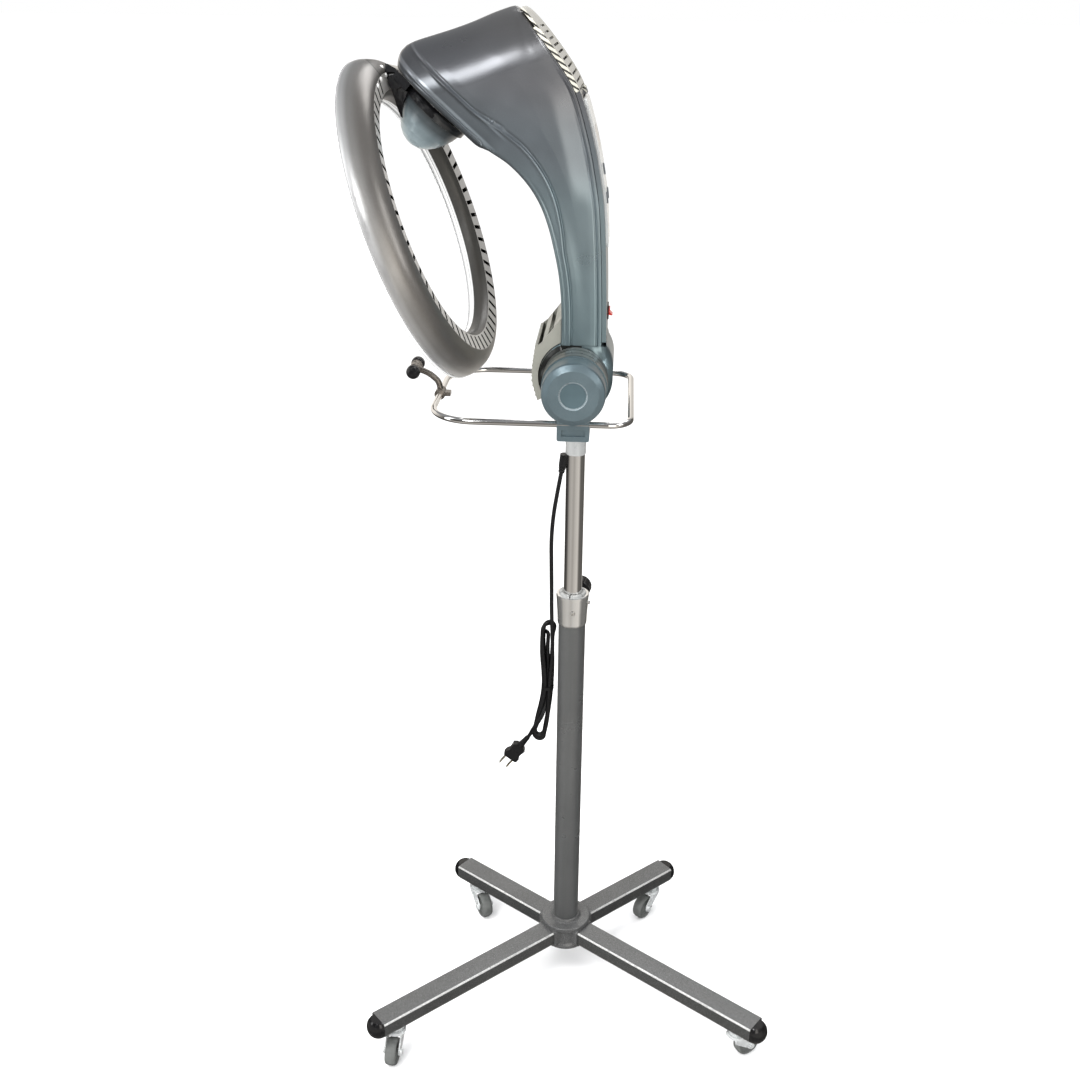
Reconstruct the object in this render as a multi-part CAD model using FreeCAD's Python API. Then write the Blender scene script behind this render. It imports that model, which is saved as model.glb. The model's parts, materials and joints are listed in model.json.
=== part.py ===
import FreeCAD, Part
import os, math
from FreeCAD import Vector as V, Matrix

# ---------------------------------------------------------------------------
# Ring dryer on a castor stand.  Millimetres, +Z up.
# Origin: post axis at floor level.  The head's plane of symmetry is X-Z and
# the heat ring reaches out toward -X.
# ---------------------------------------------------------------------------

# ---- base ------------------------------------------------------------------
BASE_YAW      = 3.35      # base frame turned about the post against the head
LEG_ANGLE     = 39.05     # leg direction off the base's X line
LEG_LONG      = 345.0     # tube end of the two long legs, from the post axis
LEG_SHORT     = 214.5     # tube end of the two short legs
LEG_START     = 25.0
LEG_W         = 34.0      # leg tube width
LEG_TOP       = 79.0      # leg tube top and underside heights
LEG_BOT       = 52.5
LEG_WALL      = 2.0
HUB_R         = 37.6
HUB_TOP       = 87.0
HUB_BOT       = 45.0

# ---- castors ---------------------------------------------------------------
STEM_LONG     = 317.0     # castor pin position along the long legs
STEM_SHORT    = 184.0
WHEEL_R       = 19.5
TYRE_W        = 15.0
TRAIL         = 19.0
TRAIL_DIR     = {"fl": 264.0, "fr": 35.0, "rl": 302.0, "rr": 234.0}   # degrees

# ---- column ----------------------------------------------------------------
LOW_R, LOW_RI = 19.05, 16.6     # lower tube 38.1 outside
LOW_Z0, LOW_Z1 = 50.0, 622.0
UP_R, UP_RI   = 12.7, 11.2      # upper tube 25.4 outside
UP_Z0, UP_Z1  = 330.0, 930.0
COL_Z0, COL_Z1 = 603.0, 649.0
KNOB_AZ, KNOB_Z = 80.0, 634.0
BUSH_Z0       = 855.0

# ---- pivot block, hinge and handle loop -------------------------------------
HX, HZ        = 0.0, 977.0      # tilt axis (along Y)
BLK_Z0, BLK_Z1 = 912.0, 938.0
BLK_HX, BLK_HY = 20.0, 119.0
DRUM_R        = 40.5
DRUM_Y0, DRUM_Y1 = 69.5, 109.5
CAP_Y1        = 143.0
CAP_R         = 39.0
SHAFT_R       = 8.0
LOOP_Z, LOOP_Y = 933.0, 115.0
LOOP_XR, LOOP_XL = 70.0, -179.0
LOOP_RR, LOOP_RL = 27.0, 56.0
ROD_R         = 4.0

# ---- arm and head ------------------------------------------------------------
ARM_HW        = 68.0            # half width of the arm
ARM_X0, ARM_X1 = -19.0, 36.0
ARM_Z0        = 1019.0
BARREL_R      = 40.0
WALL          = 3.0

# ---- rotor and heat ring -------------------------------------------------------
GAM           = 48.6            # rotor axis below the horizontal
A0            = V(-171.9, 0, 1296.8)
PHI, RHO, HH, BETA = 9.8, 77.8, 116.1, 28.2
RING_R        = 171.7
N_SLOTS       = 60

os.makedirs("parts", exist_ok=True)
D = math.radians


def save(name, shape):
    shape = shape.removeSplitter() if shape.ShapeType in ("Solid", "CompSolid") else shape
    n = len(shape.Solids)
    ok = shape.isValid()
    bb = shape.BoundBox
    print("%-20s solids %2d valid %s vol %9.1f cm3  x %.0f..%.0f y %.0f..%.0f z %.0f..%.0f" % (
        name, n, ok, shape.Volume / 1000.0, bb.XMin, bb.XMax, bb.YMin, bb.YMax, bb.ZMin, bb.ZMax))
    if n == 0 or not ok:
        raise RuntimeError("bad shape " + name)
    shape.exportStep("parts/%s.step" % name)


def group(shapes):
    out = []
    for s in shapes:
        out += s.Solids
    return Part.makeCompound(out)


def one(shape):
    """the single solid of a boolean result"""
    if len(shape.Solids) != 1:
        print("   warning: %d solids, volumes %s" % (len(shape.Solids), [round(s.Volume, 1) for s in shape.Solids]))
    return max(shape.Solids, key=lambda s: s.Volume)


def cyl(r, h, p=V(0, 0, 0), d=V(0, 0, 1)):
    return Part.makeCylinder(r, h, p, d)


def pipe(ro, ri, h, p=V(0, 0, 0), d=V(0, 0, 1)):
    d = V(d).normalize()
    return cyl(ro, h, p, d).cut(cyl(ri, h + 2, p - d, d))


def box(x0, x1, y0, y1, z0, z1):
    return Part.makeBox(x1 - x0, y1 - y0, z1 - z0, V(x0, y0, z0))


def frame(o, x, y, z):
    """matrix that carries local axes to x, y, z at o"""
    return Matrix(x.x, y.x, z.x, o.x, x.y, y.y, z.y, o.y, x.z, y.z, z.z, o.z, 0, 0, 0, 1)


def put(shape, m):
    s = shape.copy()
    s.transformShape(m, True)
    return s


def poly_face(pts):
    w = Part.makePolygon([V(*p) for p in pts] + [V(*pts[0])])
    return Part.Face(w)


def lathe(pts, p=V(0, 0, 0), d=V(0, 0, 1)):
    """turn a closed (r, h) outline about the line through p along d"""
    f = poly_face([(r, 0, h) for r, h in pts])
    s = f.revolve(V(0, 0, 0), V(0, 0, 1), 360)
    s = s if s.ShapeType == "Solid" else Part.Solid(s)
    if s.Volume < 0:
        s.reverse()
    z = V(d).normalize()
    x = z.cross(V(0, 1, 0)) if abs(z.y) < 0.9 else V(0, 0, 1).cross(z)
    x = x.normalize()
    y = z.cross(x)
    return put(s, frame(p, x, y, z))


def prism_y(pts, y0, y1):
    """extrude an (x, z) outline along Y"""
    f = poly_face([(x, y0, z) for x, z in pts])
    return f.extrude(V(0, y1 - y0, 0))


def fillet(s, r, pick):
    e = [k for k in s.Edges if pick(k)]
    if not e:
        return s
    try:
        f = s.makeFillet(r, e)
        return f if f.isValid() else s
    except Exception:
        print("   fillet left out")
        return s


def along(e, d, tol=1e-3):
    """edge is straight and runs along d"""
    if not isinstance(e.Curve, (Part.Line,)):
        return False
    t = e.tangentAt(e.FirstParameter)
    return abs(abs(t.dot(d)) - 1) < tol


def bent_path(pts, radius=None, closed=False, report=None):
    """straight runs joined by tangent arcs"""
    P = [V(*p) for p in pts]
    n = len(P)
    edges = []
    last = P[0]
    lens = [(P[i + 1] - P[i]).Length for i in range(n - 1)]
    for i in range(1, n - 1):
        a, b, c = P[i - 1], P[i], P[i + 1]
        u = (a - b).normalize()
        w = (c - b).normalize()
        ang = math.pi - math.acos(max(-1, min(1, u.dot(w))))
        t = 0.45 * min(lens[i - 1], lens[i])
        r = t / math.tan(ang / 2)
        if radius:
            r = min(r, radius)
            t = r * math.tan(ang / 2)
        p0, p1 = b + u * t, b + w * t
        bis = (u + w).normalize()
        mid = b + bis * (r / math.cos(ang / 2) - r)
        edges.append(Part.LineSegment(last, p0).toShape())
        edges.append(Part.Arc(p0, mid, p1).toShape())
        if report is not None:
            report.append((round(math.degrees(ang), 1), round(r, 1)))
        last = p1
    edges.append(Part.LineSegment(last, P[-1]).toShape())
    return Part.Wire(edges)


def sweep(wire, r):
    e = wire.Edges[0]
    p = e.valueAt(e.FirstParameter)
    t = e.tangentAt(e.FirstParameter)
    prof = Part.Wire([Part.Circle(p, t, r).toShape()])
    s = wire.makePipeShell([prof], True, False)
    return s if s.ShapeType == "Solid" else Part.Solid(s)


# ---------------------------------------------------------------------------
# base: hub, four legs, end caps
# ---------------------------------------------------------------------------
LEGS = {"fl": (180 + LEG_ANGLE + BASE_YAW, LEG_LONG, STEM_LONG, "front_left"),
        "fr": (360 - LEG_ANGLE + BASE_YAW, LEG_LONG, STEM_LONG, "front_right"),
        "rl": (180 - LEG_ANGLE + BASE_YAW, LEG_SHORT, STEM_SHORT, "rear_left"),
        "rr": (LEG_ANGLE + BASE_YAW, LEG_SHORT, STEM_SHORT, "rear_right")}


def leg_frame(az):
    a = D(az)
    return frame(V(0, 0, 0), V(math.cos(a), math.sin(a), 0), V(-math.sin(a), math.cos(a), 0), V(0, 0, 1))


def leg_bar(x0, x1, off):
    """leg section grown by off, along local X"""
    hw = LEG_W / 2 + off
    z0, z1 = LEG_BOT - off, LEG_TOP + off
    s = box(x0, x1, -hw, hw, z0, z1)
    s = fillet(s, 3.6 + off, lambda e: along(e, V(1, 0, 0)) and e.CenterOfMass.z > 70)
    s = fillet(s, 8.5 + off, lambda e: along(e, V(1, 0, 0)) and e.CenterOfMass.z < 60 and abs(e.CenterOfMass.y) > 14)
    return s


hub = lathe([(19.1, HUB_BOT), (33.0, HUB_BOT), (35.0, 47.0), (35.0, 51.5), (32.6, 55), (32.2, 72), (33.6, 77.5),
             (HUB_R, 81.5), (HUB_R, 86.0), (HUB_R - 1.0, HUB_TOP), (24.4, HUB_TOP), (22.6, 88.0), (21.4, 90.5), (20.4, 91.6), (19.1, 91.6)])
caps = []
for key, (az, ln, stem, nm) in LEGS.items():
    m = leg_frame(az)
    # sleeve of the hub round the leg root
    slv = put(leg_bar(22.0, 37.2, 2.4), m)
    hub = hub.fuse(slv)
for key, (az, ln, stem, nm) in LEGS.items():
    m = leg_frame(az)
    hub = hub.cut(put(leg_bar(LEG_START - 0.2, 60, 0.12), m))
hub = one(hub.cut(cyl(19.1, 60, V(0, 0, 40))))
save("base_hub", hub)
for key, (az, ln, stem, nm) in LEGS.items():
    m = leg_frame(az)
    leg = leg_bar(LEG_START, ln, 0).cut(leg_bar(LEG_START - 1, ln + 1, -LEG_WALL))
    leg = leg.cut(cyl(4.1, 12, V(stem, 0, LEG_BOT - 5)))
    save("leg_" + nm, put(one(leg), m))
    # domed end cap: spigot inside the tube and a rounded nose outside
    zc = (LEG_TOP + LEG_BOT) / 2
    nose = leg_bar(ln + 0.05, ln + 17, 0)
    dome = Part.makeSphere(1.0)
    mm = Matrix(17.0, 0, 0, ln, 0, LEG_W / 2 + 0.6, 0, 0, 0, 0, (LEG_TOP - LEG_BOT) / 2 + 4.2, zc - 0.6, 0, 0, 0, 1)
    dome = dome.transformGeometry(mm)
    nose = nose.common(dome)
    spig = leg_bar(ln - 14, ln + 0.2, -LEG_WALL - 0.15)
    caps.append(put(one(nose.fuse(spig)), m))
save("leg_end_caps", group(caps))

# ---------------------------------------------------------------------------
# castors: fork with lower race and axle, wheel, tyre
# ---------------------------------------------------------------------------
plates2 = []
for key, (az, ln, stem, nm) in LEGS.items():
    a = D(az)
    px, py = stem * math.cos(a), stem * math.sin(a)
    t = D(TRAIL_DIR[key])
    m = frame(V(px, py, 0), V(math.cos(t), math.sin(t), 0), V(-math.sin(t), math.cos(t), 0), V(0, 0, 1))
    # cup of the lower ball race, fused to the fork's bridge
    race = lathe([(0, 40.9), (13.6, 40.9), (14.8, 42.2), (14.8, 46.6), (13.2, 46.6), (13.1, 44.6), (9.8, 43.0), (0, 43.0)])
    cheeks = []
    for s in (-1, 1):
        y0, y1 = (9.6, 11.4) if s > 0 else (-11.4, -9.6)
        f = poly_face([(-11.5, y0, 42.6), (10.5, y0, 42.6), (12.0, y0, 39.0), (TRAIL + 5.2, y0, 26.0), (TRAIL + 5.6, y0, 19.5),
                       (TRAIL + 3.4, y0, 14.8), (TRAIL - 3.4, y0, 14.8), (TRAIL - 7.5, y0, 19.0), (-10.5, y0, 36.0)])
        cheeks.append(f.extrude(V(0, y1 - y0, 0)))
    bridge = box(-11.5, 11.2, -11.4, 11.4, 40.9, 42.6)
    fork = cheeks[0].fuse([cheeks[1], bridge, race])
    fork = fork.cut(Part.makeCylinder(2.56, 40, V(TRAIL, -20, WHEEL_R), V(0, 1, 0)))
    fork = one(fork)
    axle = lathe([(0, -13.6), (4.2, -13.6), (4.2, -11.45), (2.5, -11.45), (2.5, 11.45), (4.6, 11.45), (4.6, 14.2), (0, 14.2)],
                 V(TRAIL, 0, WHEEL_R), V(0, 1, 0))
    save("castor_fork_" + key, put(group([fork, axle]), m))
    core = lathe([(2.56, -8.6), (5.5, -8.6), (5.5, -6.6), (12.4, -5.0), (13.2, -5.8), (14.6, -5.8), (14.6, 5.8), (13.2, 5.8), (12.4, 5.0),
                  (5.5, 6.6), (5.5, 8.6), (2.56, 8.6)], V(TRAIL, 0, WHEEL_R), V(0, 1, 0))
    hw = TYRE_W / 2
    tyre = lathe([(14.65, -6.2), (15.6, -hw + 0.4), (17.6, -hw), (18.8, -hw + 1.4), (WHEEL_R, -hw + 4.0), (WHEEL_R, hw - 4.0), (18.8, hw - 1.4),
                  (17.6, hw), (15.6, hw - 0.4), (14.65, 6.2)], V(TRAIL, 0, WHEEL_R), V(0, 1, 0))
    save("castor_wheel_" + key, put(group([core, tyre]), m))
    # stud with the upper race, its neck and the plate under the leg
    st = lathe([(0, 68), (0, 43.3), (9.7, 43.3), (12.8, 44.9), (12.8, 47.0), (6.5, 48.6), (6.5, 50.2),
                (13.0, 50.2), (13.0, LEG_BOT - 0.02), (4.05, LEG_BOT - 0.02), (4.05, 68)])
    plates2.append(put(st, m))
save("castor_studs", group(plates2))

# ---------------------------------------------------------------------------
# column: lower tube, collar with split bush, clamp knob, upper tube
# ---------------------------------------------------------------------------
save("lower_tube", pipe(LOW_R, LOW_RI, LOW_Z1 - LOW_Z0, V(0, 0, LOW_Z0)))

ka = D(KNOB_AZ)
kd = V(math.cos(ka), math.sin(ka), 0)
kc = V(0, 0, KNOB_Z)
collar = lathe([(17.5, COL_Z0), (20.2, COL_Z0), (20.7, COL_Z0 + 2), (21.2, 618), (22.6, 641), (23.0, 645.5), (22.7, COL_Z1 - 0.6), (22.0, COL_Z1),
                (17.5, COL_Z1)])
boss = cyl(6.4, 12.2, kc + kd * 18.0, kd)
collar = collar.fuse(boss).cut(cyl(19.12, 60, V(0, 0, 595))).cut(cyl(3.15, 30, kc + kd * 10, kd))

# seats for two small screws
sd1 = V(math.cos(D(274)), math.sin(D(274)), 0)
sd2 = V(math.cos(D(352)), math.sin(D(352)), 0)
scr = []
for sdir, z in ((sd1, 627.0), (sd2, 636.0)):
    collar = collar.cut(cyl(1.55, 10, V(0, 0, z) + sdir * 16, sdir))
    rr = 22.75 if z < 630 else 23.05
    head = lathe([(0, 0), (2.9, 0), (2.9, 0.6), (2.2, 1.5), (0, 1.9)], V(0, 0, z) + sdir * rr, sdir)
    shank = cyl(1.5, rr - 19.3 + 0.3, V(0, 0, z) + sdir * 19.3, sdir)
    sc = head.fuse(shank)
    ty = sdir.cross(V(0, 0, 1))
    c1 = put(box(-1.6, 1.6, -0.3, 0.3, 1.1, 2.4), frame(V(0, 0, z) + sdir * rr, ty, V(0, 0, 1), sdir))
    c2 = put(box(-0.3, 0.3, -1.6, 1.6, 1.1, 2.4), frame(V(0, 0, z) + sdir * rr, ty, V(0, 0, 1), sdir))
    scr.append(one(sc.cut(c1).cut(c2)))
save("column_collar", one(collar))
save("collar_screws", group(scr))

bush = lathe([(12.76, 560), (16.5, 560), (16.5, LOW_Z1 + 0.1), (19.0, LOW_Z1 + 0.1), (19.0, 648.2), (18.0, 651.6), (14.6, 651.6), (12.76, 650.2)])
for i in range(6):
    an = D(60 * i + 20)
    m = frame(V(0, 0, 0), V(math.cos(an), math.sin(an), 0), V(-math.sin(an), math.cos(an), 0), V(0, 0, 1))
    bush = bush.cut(put(box(11, 22, -0.9, 0.9, 626, 660), m))
save("split_bush", one(bush))

# clamp knob: screw, neck and ribbed grip
kn = lathe([(0, 19.25), (3.0, 19.25), (3.0, 31.2), (7.5, 31.2), (7.5, 37.0), (14.6, 38.4), (15.8, 40.0), (15.8, 56.5), (14.4, 59.2), (9.0, 60.4), (0, 60.8)], kc, kd)
ty = V(-math.sin(ka), math.cos(ka), 0)
for i in range(12):
    an = D(30 * i)
    q = ty * math.cos(an) + V(0, 0, 1) * math.sin(an)
    kn = kn.cut(cyl(1.7, 25, kc + kd * 38 + q * 16.6, kd))
save("clamp_knob", one(kn))

CORD_D = 5.6
CORD_OUT = [(-18.6, -3.0, 828.0), (-23.8, -2.4, 797.0), (-28.8, -0.8, 762.0), (-31.0, 1.2, 727.0), (-30.4, 3.0, 690.0), (-29.6, 4.0, 650.0), (-30.8, 4.2, 607.0)]
g0, g1 = V(*CORD_OUT[0]), V(*CORD_OUT[1])
gd = (g1 - g0).normalize()                # the cord leaves the outlet boot this way
ed = V(g0.x, g0.y, 0).normalize()
upt = pipe(UP_R, UP_RI, UP_Z1 - UP_Z0, V(0, 0, UP_Z0))
upt = upt.cut(cyl(4.4, 12, V(0, 0, 849.0) + ed * 8, ed))
save("upper_tube", one(upt))
# outlet boot: tapers down round the cord, with a spigot in the tube's hole
boot = lathe([(0, 0), (3.9, 0), (4.3, 2.0), (4.3, 3.0), (3.9, 3.6), (4.6, 5.4), (4.9, 6.4), (4.6, 7.2), (5.4, 9.6), (5.8, 18.0), (6.2, 26.0), (4.6, 29.0), (0, 30.0)], g0, gd * -1)
boot = boot.cut(cyl(UP_R + 0.03, 200, V(0, 0, 750)))
spg = cyl(4.3, 8, V(0, 0, 849.0) + ed * 9.6, ed)
spg = spg.cut(pipe(60, UP_RI + 3.2, 60, V(0, 0, 820)))
boot = boot.fuse(spg).cut(box(-40, 0, -20, 20, BUSH_Z0 - 0.4, BUSH_Z0 + 20))
save("cord_outlet_boot", one(boot))
mb = pipe(13.7, 12.74, UP_Z1 - BUSH_Z0, V(0, 0, BUSH_Z0))
mb = mb.cut(pipe(15.0, 13.35, 1.2, V(0, 0, BUSH_Z0)))
save("mast_bush", one(mb))

# ---------------------------------------------------------------------------
# pivot block: cross bar with two fixed knuckle drums and the mast socket
# ---------------------------------------------------------------------------
Y = V(0, 1, 0)
blk = box(-BLK_HX, BLK_HX, -BLK_HY, BLK_HY, BLK_Z0, BLK_Z1)
blk = fillet(blk, 2.5, lambda e: along(e, V(0, 1, 0)) and e.CenterOfMass.z < 915)
for s in (-1, 1):
    y0 = min(s * DRUM_Y0, s * DRUM_Y1)
    d = cyl(DRUM_R, DRUM_Y1 - DRUM_Y0, V(HX, y0, HZ), Y)
    yi = min(s * (DRUM_Y0 + 4.5), s * (DRUM_Y1 + 1))
    d = d.cut(cyl(DRUM_R - 3, DRUM_Y1 + 1 - DRUM_Y0 - 4.5, V(HX, yi, HZ), Y))
    blk = blk.fuse(d)
    # foot of the drum: web down to the bar
    blk = blk.fuse(box(-BLK_HX, BLK_HX, y0, y0 + DRUM_Y1 - DRUM_Y0, BLK_Z1 - 2, 948).cut(cyl(DRUM_R - 3, 60, V(HX, y0 - 5, HZ), Y)))
    # recess under the end cap
    yc = min(s * DRUM_Y1, s * (BLK_HY + 1))
    blk = blk.cut(cyl(CAP_R + 0.25, BLK_HY + 1 - DRUM_Y1, V(HX, yc, HZ), Y))
    # window in the end face
    yw = min(s * (BLK_HY - 2.5), s * (BLK_HY + 1))
    blk = blk.cut(box(-14.5, 14.5, yw, yw + 3.5, BLK_Z0 + 6.5, BLK_Z0 + 15.0))
    # bore of the handle rail
    blk = blk.cut(cyl(ROD_R + 0.04, 80, V(-40, s * LOOP_Y, LOOP_Z), V(1, 0, 0)))
blk = blk.cut(cyl(SHAFT_R + 0.02, 300, V(HX, -150, HZ), Y))
blk = blk.cut(cyl(13.78, 19.15, V(0, 0, BLK_Z0 - 1), V(0, 0, 1)))
blk = blk.cut(cyl(7.0, 40, V(0, 0, BLK_Z0), V(0, 0, 1)))
save("pivot_block", one(blk))

save("hinge_shaft", lathe([(0, -127), (7.0, -127), (SHAFT_R, -126), (SHAFT_R, 126), (7.0, 127), (0, 127)], V(HX, 0, HZ), Y))


def hexnut(af, h, ri, p, d):
    r = af / math.sqrt(3)
    z = V(d).normalize()
    x = z.cross(V(0, 1, 0)) if abs(z.y) < 0.9 else V(1, 0, 0)
    x = x.normalize()
    y = z.cross(x)
    f = poly_face([(r * math.cos(D(60 * i)), r * math.sin(D(60 * i)), 0) for i in range(6)])
    n = f.extrude(V(0, 0, h)).cut(cyl(ri, h + 2, V(0, 0, -1)))
    return put(n, frame(p, x, y, z))


nuts, discs = [], []
for s in (-1, 1):
    d = V(0, s, 0)
    nuts.append(hexnut(24, 9, SHAFT_R + 0.02, V(HX, s * 79.5, HZ), d))
    nuts.append(pipe(15, SHAFT_R + 0.02, 2.2, V(HX, s * 77.2, HZ), d))
    nuts.append(pipe(17, SHAFT_R + 0.02, 2.9, V(HX, s * 74.1, HZ), d))
    discs.append(pipe(30.0, SHAFT_R + 0.3, 1.2, V(HX, s * 68.0, HZ), d))
save("hinge_hardware", group(nuts + discs))

cap_prof = [(0, 31.6), (15.6, 31.6), (16.2, 30.9), (17.2, 30.9), (17.6, 33.4), (30.6, 33.4), (31.6, 32.9), (37.6, 29.4), (CAP_R - 0.3, 27.0), (CAP_R, 24.0), (CAP_R, 0.4),
            (36.4, 0.4), (36.4, 26.0), (30.0, 30.2), (19.0, 30.2), (18.0, 28.4), (0, 28.4)]
save("hinge_caps", group([lathe(cap_prof, V(HX, s * DRUM_Y1, HZ), V(0, s, 0)) for s in (-1, 1)]))

helix = Part.makeHelix(5.2, 83.2, 14.4)
hp = Part.Wire([Part.Circle(V(14.4, 0, 0), V(0, 14.4 * 6.2832, 5.2), 1.7).toShape()])
spr = Part.Wire(helix).makePipeShell([hp], True, True)
spr = put(spr if spr.ShapeType == "Solid" else Part.Solid(spr), frame(V(HX, -41.6, HZ), V(1, 0, 0), V(0, 0, -1), V(0, 1, 0)))
save("hinge_spring", spr)

# ---------------------------------------------------------------------------
# handle loop and cross grip
# ---------------------------------------------------------------------------
def rounded_loop(xl, xr, hy, rl, rr, z, r):
    E = []
    def arc(cx, cy, rad, a0, a1):
        am = (a0 + a1) / 2
        q = [V(cx + rad * math.cos(D(a)), cy + rad * math.sin(D(a)), z) for a in (a0, am, a1)]
        return Part.Arc(*q).toShape()
    E.append(Part.LineSegment(V(0, -hy, z), V(xr - rr, -hy, z)).toShape())
    E.append(arc(xr - rr, -hy + rr, rr, -90, 0))
    E.append(Part.LineSegment(V(xr, -hy + rr, z), V(xr, hy - rr, z)).toShape())
    E.append(arc(xr - rr, hy - rr, rr, 0, 90))
    E.append(Part.LineSegment(V(xr - rr, hy, z), V(xl + rl, hy, z)).toShape())
    E.append(arc(xl + rl, hy - rl, rl, 90, 180))
    E.append(Part.LineSegment(V(xl, hy - rl, z), V(xl, -hy + rl, z)).toShape())
    E.append(arc(xl + rl, -hy + rl, rl, 180, 270))
    E.append(Part.LineSegment(V(xl + rl, -hy, z), V(0, -hy, z)).toShape())
    w = Part.Wire(E)
    prof = Part.Wire([Part.Circle(V(0, -hy, z), V(1, 0, 0), r).toShape()])
    s = w.makePipeShell([prof], True, False)
    return s if s.ShapeType == "Solid" else Part.Solid(s)


save("handle_loop", rounded_loop(LOOP_XL, LOOP_XR, LOOP_Y, LOOP_RL, LOOP_RR, LOOP_Z, ROD_R))
# clamp sleeve round the rod's left end with a curved stem up to the grip
clamp = pipe(7.0, ROD_R + 0.03, 18, V(LOOP_XL, -9, LOOP_Z), Y)
lug = box(LOOP_XL + 3.5, LOOP_XL + 13.5, -6.5, 6.5, LOOP_Z - 2.6, LOOP_Z + 2.6).cut(cyl(ROD_R + 0.03, 30, V(LOOP_XL, -15, LOOP_Z), Y))
stem = bent_path([(LOOP_XL, 0, LOOP_Z + 5.6), (LOOP_XL - 2.5, 0, LOOP_Z + 16), (LOOP_XL - 14, 0, LOOP_Z + 26), (LOOP_XL - 28.5, 0, LOOP_Z + 31.5)])
st = sweep(stem, 3.9)
gx, gz = LOOP_XL - 32.0, LOOP_Z + 33.0
tbar = lathe([(0, -19.5), (4.0, -19.5), (4.0, 19.5), (0, 19.5)], V(gx, 0, gz), Y)
save("crossbar_stem", one(clamp.fuse([lug, st, tbar, cyl(4.8, 4.0, V(gx + 6.2, 0, gz - 2.2), V(-6.2, 0, 2.2))])))
balls = []
for s in (-1, 1):
    balls.append(lathe([(4.04, 12.0), (6.0, 12.0), (7.8, 14.0), (8.9, 18.0), (8.9, 23.0), (7.6, 26.6), (4.6, 28.6), (0, 29.2), (0, 19.6), (4.04, 19.6)],
                       V(gx, 0, gz), V(0, s, 0)))
save("crossbar_ends", group(balls))

# ---------------------------------------------------------------------------
# arm and head shell
# ---------------------------------------------------------------------------
FRONT = [(-19, 1019), (-19, 1050), (-20.5, 1080), (-24, 1108), (-30, 1136), (-37, 1162), (-47, 1187), (-62, 1210), (-83, 1231), (-107, 1246.5)]
LIP_LO, LIP_HI = (-120.4, 1251.4), (-218.6, 1337.8)
TIP = [(-218.6, 1337.8), (-218.2, 1345), (-215.2, 1352), (-209.0, 1358)]
TOP = [(-209.0, 1358), (-198, 1363), (-175, 1370), (-152, 1377), (-128, 1385.5), (-107, 1394), (-88, 1400.5), (-78, 1402.5)]
REAR = [(-78, 1402.5), (-70, 1400.5), (-61, 1393), (-43, 1373), (-22, 1346.5), (-8, 1326), (1, 1307), (10, 1279), (18, 1249), (24, 1219), (29, 1188), (32, 1150),
        (34.5, 1100), (36, 1055), (36.5, 1019)]


def catmull(P, n=6):
    Q = [tuple(2 * a - b for a, b in zip(P[0], P[1]))] + list(P) + [tuple(2 * a - b for a, b in zip(P[-1], P[-2]))]
    out = []
    for i in range(1, len(Q) - 2):
        p0, p1, p2, p3 = Q[i - 1:i + 3]
        for k in range(n):
            t = k / n
            out.append(tuple(0.5 * ((2 * b) + (-a + c) * t + (2 * a - 5 * b + 4 * c - d) * t * t + (-a + 3 * b - 3 * c + d) * t ** 3)
                             for a, b, c, d in zip(p0, p1, p2, p3)))
    out.append(P[-1])
    return out


def offset_open(P, d):
    """shift a polyline sideways; d>0 moves it to the left of its direction"""
    out = []
    for i in range(len(P)):
        a = P[max(i - 1, 0)]
        b = P[min(i + 1, len(P) - 1)]
        tx, tz = b[0] - a[0], b[1] - a[1]
        l = math.hypot(tx, tz)
        out.append((P[i][0] - tz / l * d, P[i][1] + tx / l * d))
    return out


fr, tp, to, re_ = catmull(FRONT), catmull(TIP), catmull(TOP), catmull(REAR)


def spl(P, y):
    c = Part.BSplineCurve()
    c.interpolate([V(x, y, z) for x, z in P])
    return c.toShape()


def outline_solid(y0, y1, fr, tp, to, re_, base=None):
    E = [spl(fr, y0), Part.LineSegment(V(fr[-1][0], y0, fr[-1][1]), V(tp[0][0], y0, tp[0][1])).toShape(), spl(tp, y0), spl(to, y0), spl(re_, y0)]
    if base:
        b = [re_[-1]] + base + [fr[0]]
    else:
        b = [re_[-1], fr[0]]
    for a, c in zip(b[:-1], b[1:]):
        E.append(Part.LineSegment(V(a[0], y0, a[1]), V(c[0], y0, c[1])).toShape())
    f = Part.Face(Part.Wire(E))
    return f.extrude(V(0, y1 - y0, 0))


# arch that rounds the head over: swept along the top line
TD = V(0.945, 0, 0.327).normalize()      # along the top line
TN = V(-TD.z, 0, TD.x)                   # square to it, upwards
TOP0 = V(-107, 0, 1394)


def arch(hw, lift, drop):
    """all points under an elliptical arch of half width hw"""
    n = 24
    pts = []
    for i in range(n + 1):
        a = math.pi * i / n
        pts.append((hw * math.cos(a), lift - drop + drop * math.sin(a)))
    c = Part.BSplineCurve()
    c.interpolate([V(p[0], p[1], -400) for p in pts])
    E = [c.toShape(), Part.LineSegment(V(pts[-1][0], pts[-1][1], -400), V(pts[-1][0], -900, -400)).toShape(),
         Part.LineSegment(V(pts[-1][0], -900, -400), V(pts[0][0], -900, -400)).toShape(),
         Part.LineSegment(V(pts[0][0], -900, -400), V(pts[0][0], pts[0][1], -400)).toShape()]
    f = Part.Face(Part.Wire(E))
    s = f.extrude(V(0, 0, 800))
    mm = frame(TOP0, V(0, 1, 0), TN, V(0, 1, 0).cross(TN))
    return put(s, mm)


full = outline_solid(-72, 72, fr, tp, to, re_)
skin = full.common(arch(66.4, 3.5, 56))              # recessed level of the side panels
proud = full.common(arch(68.2, 5.5, 56))             # level of the bands

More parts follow.
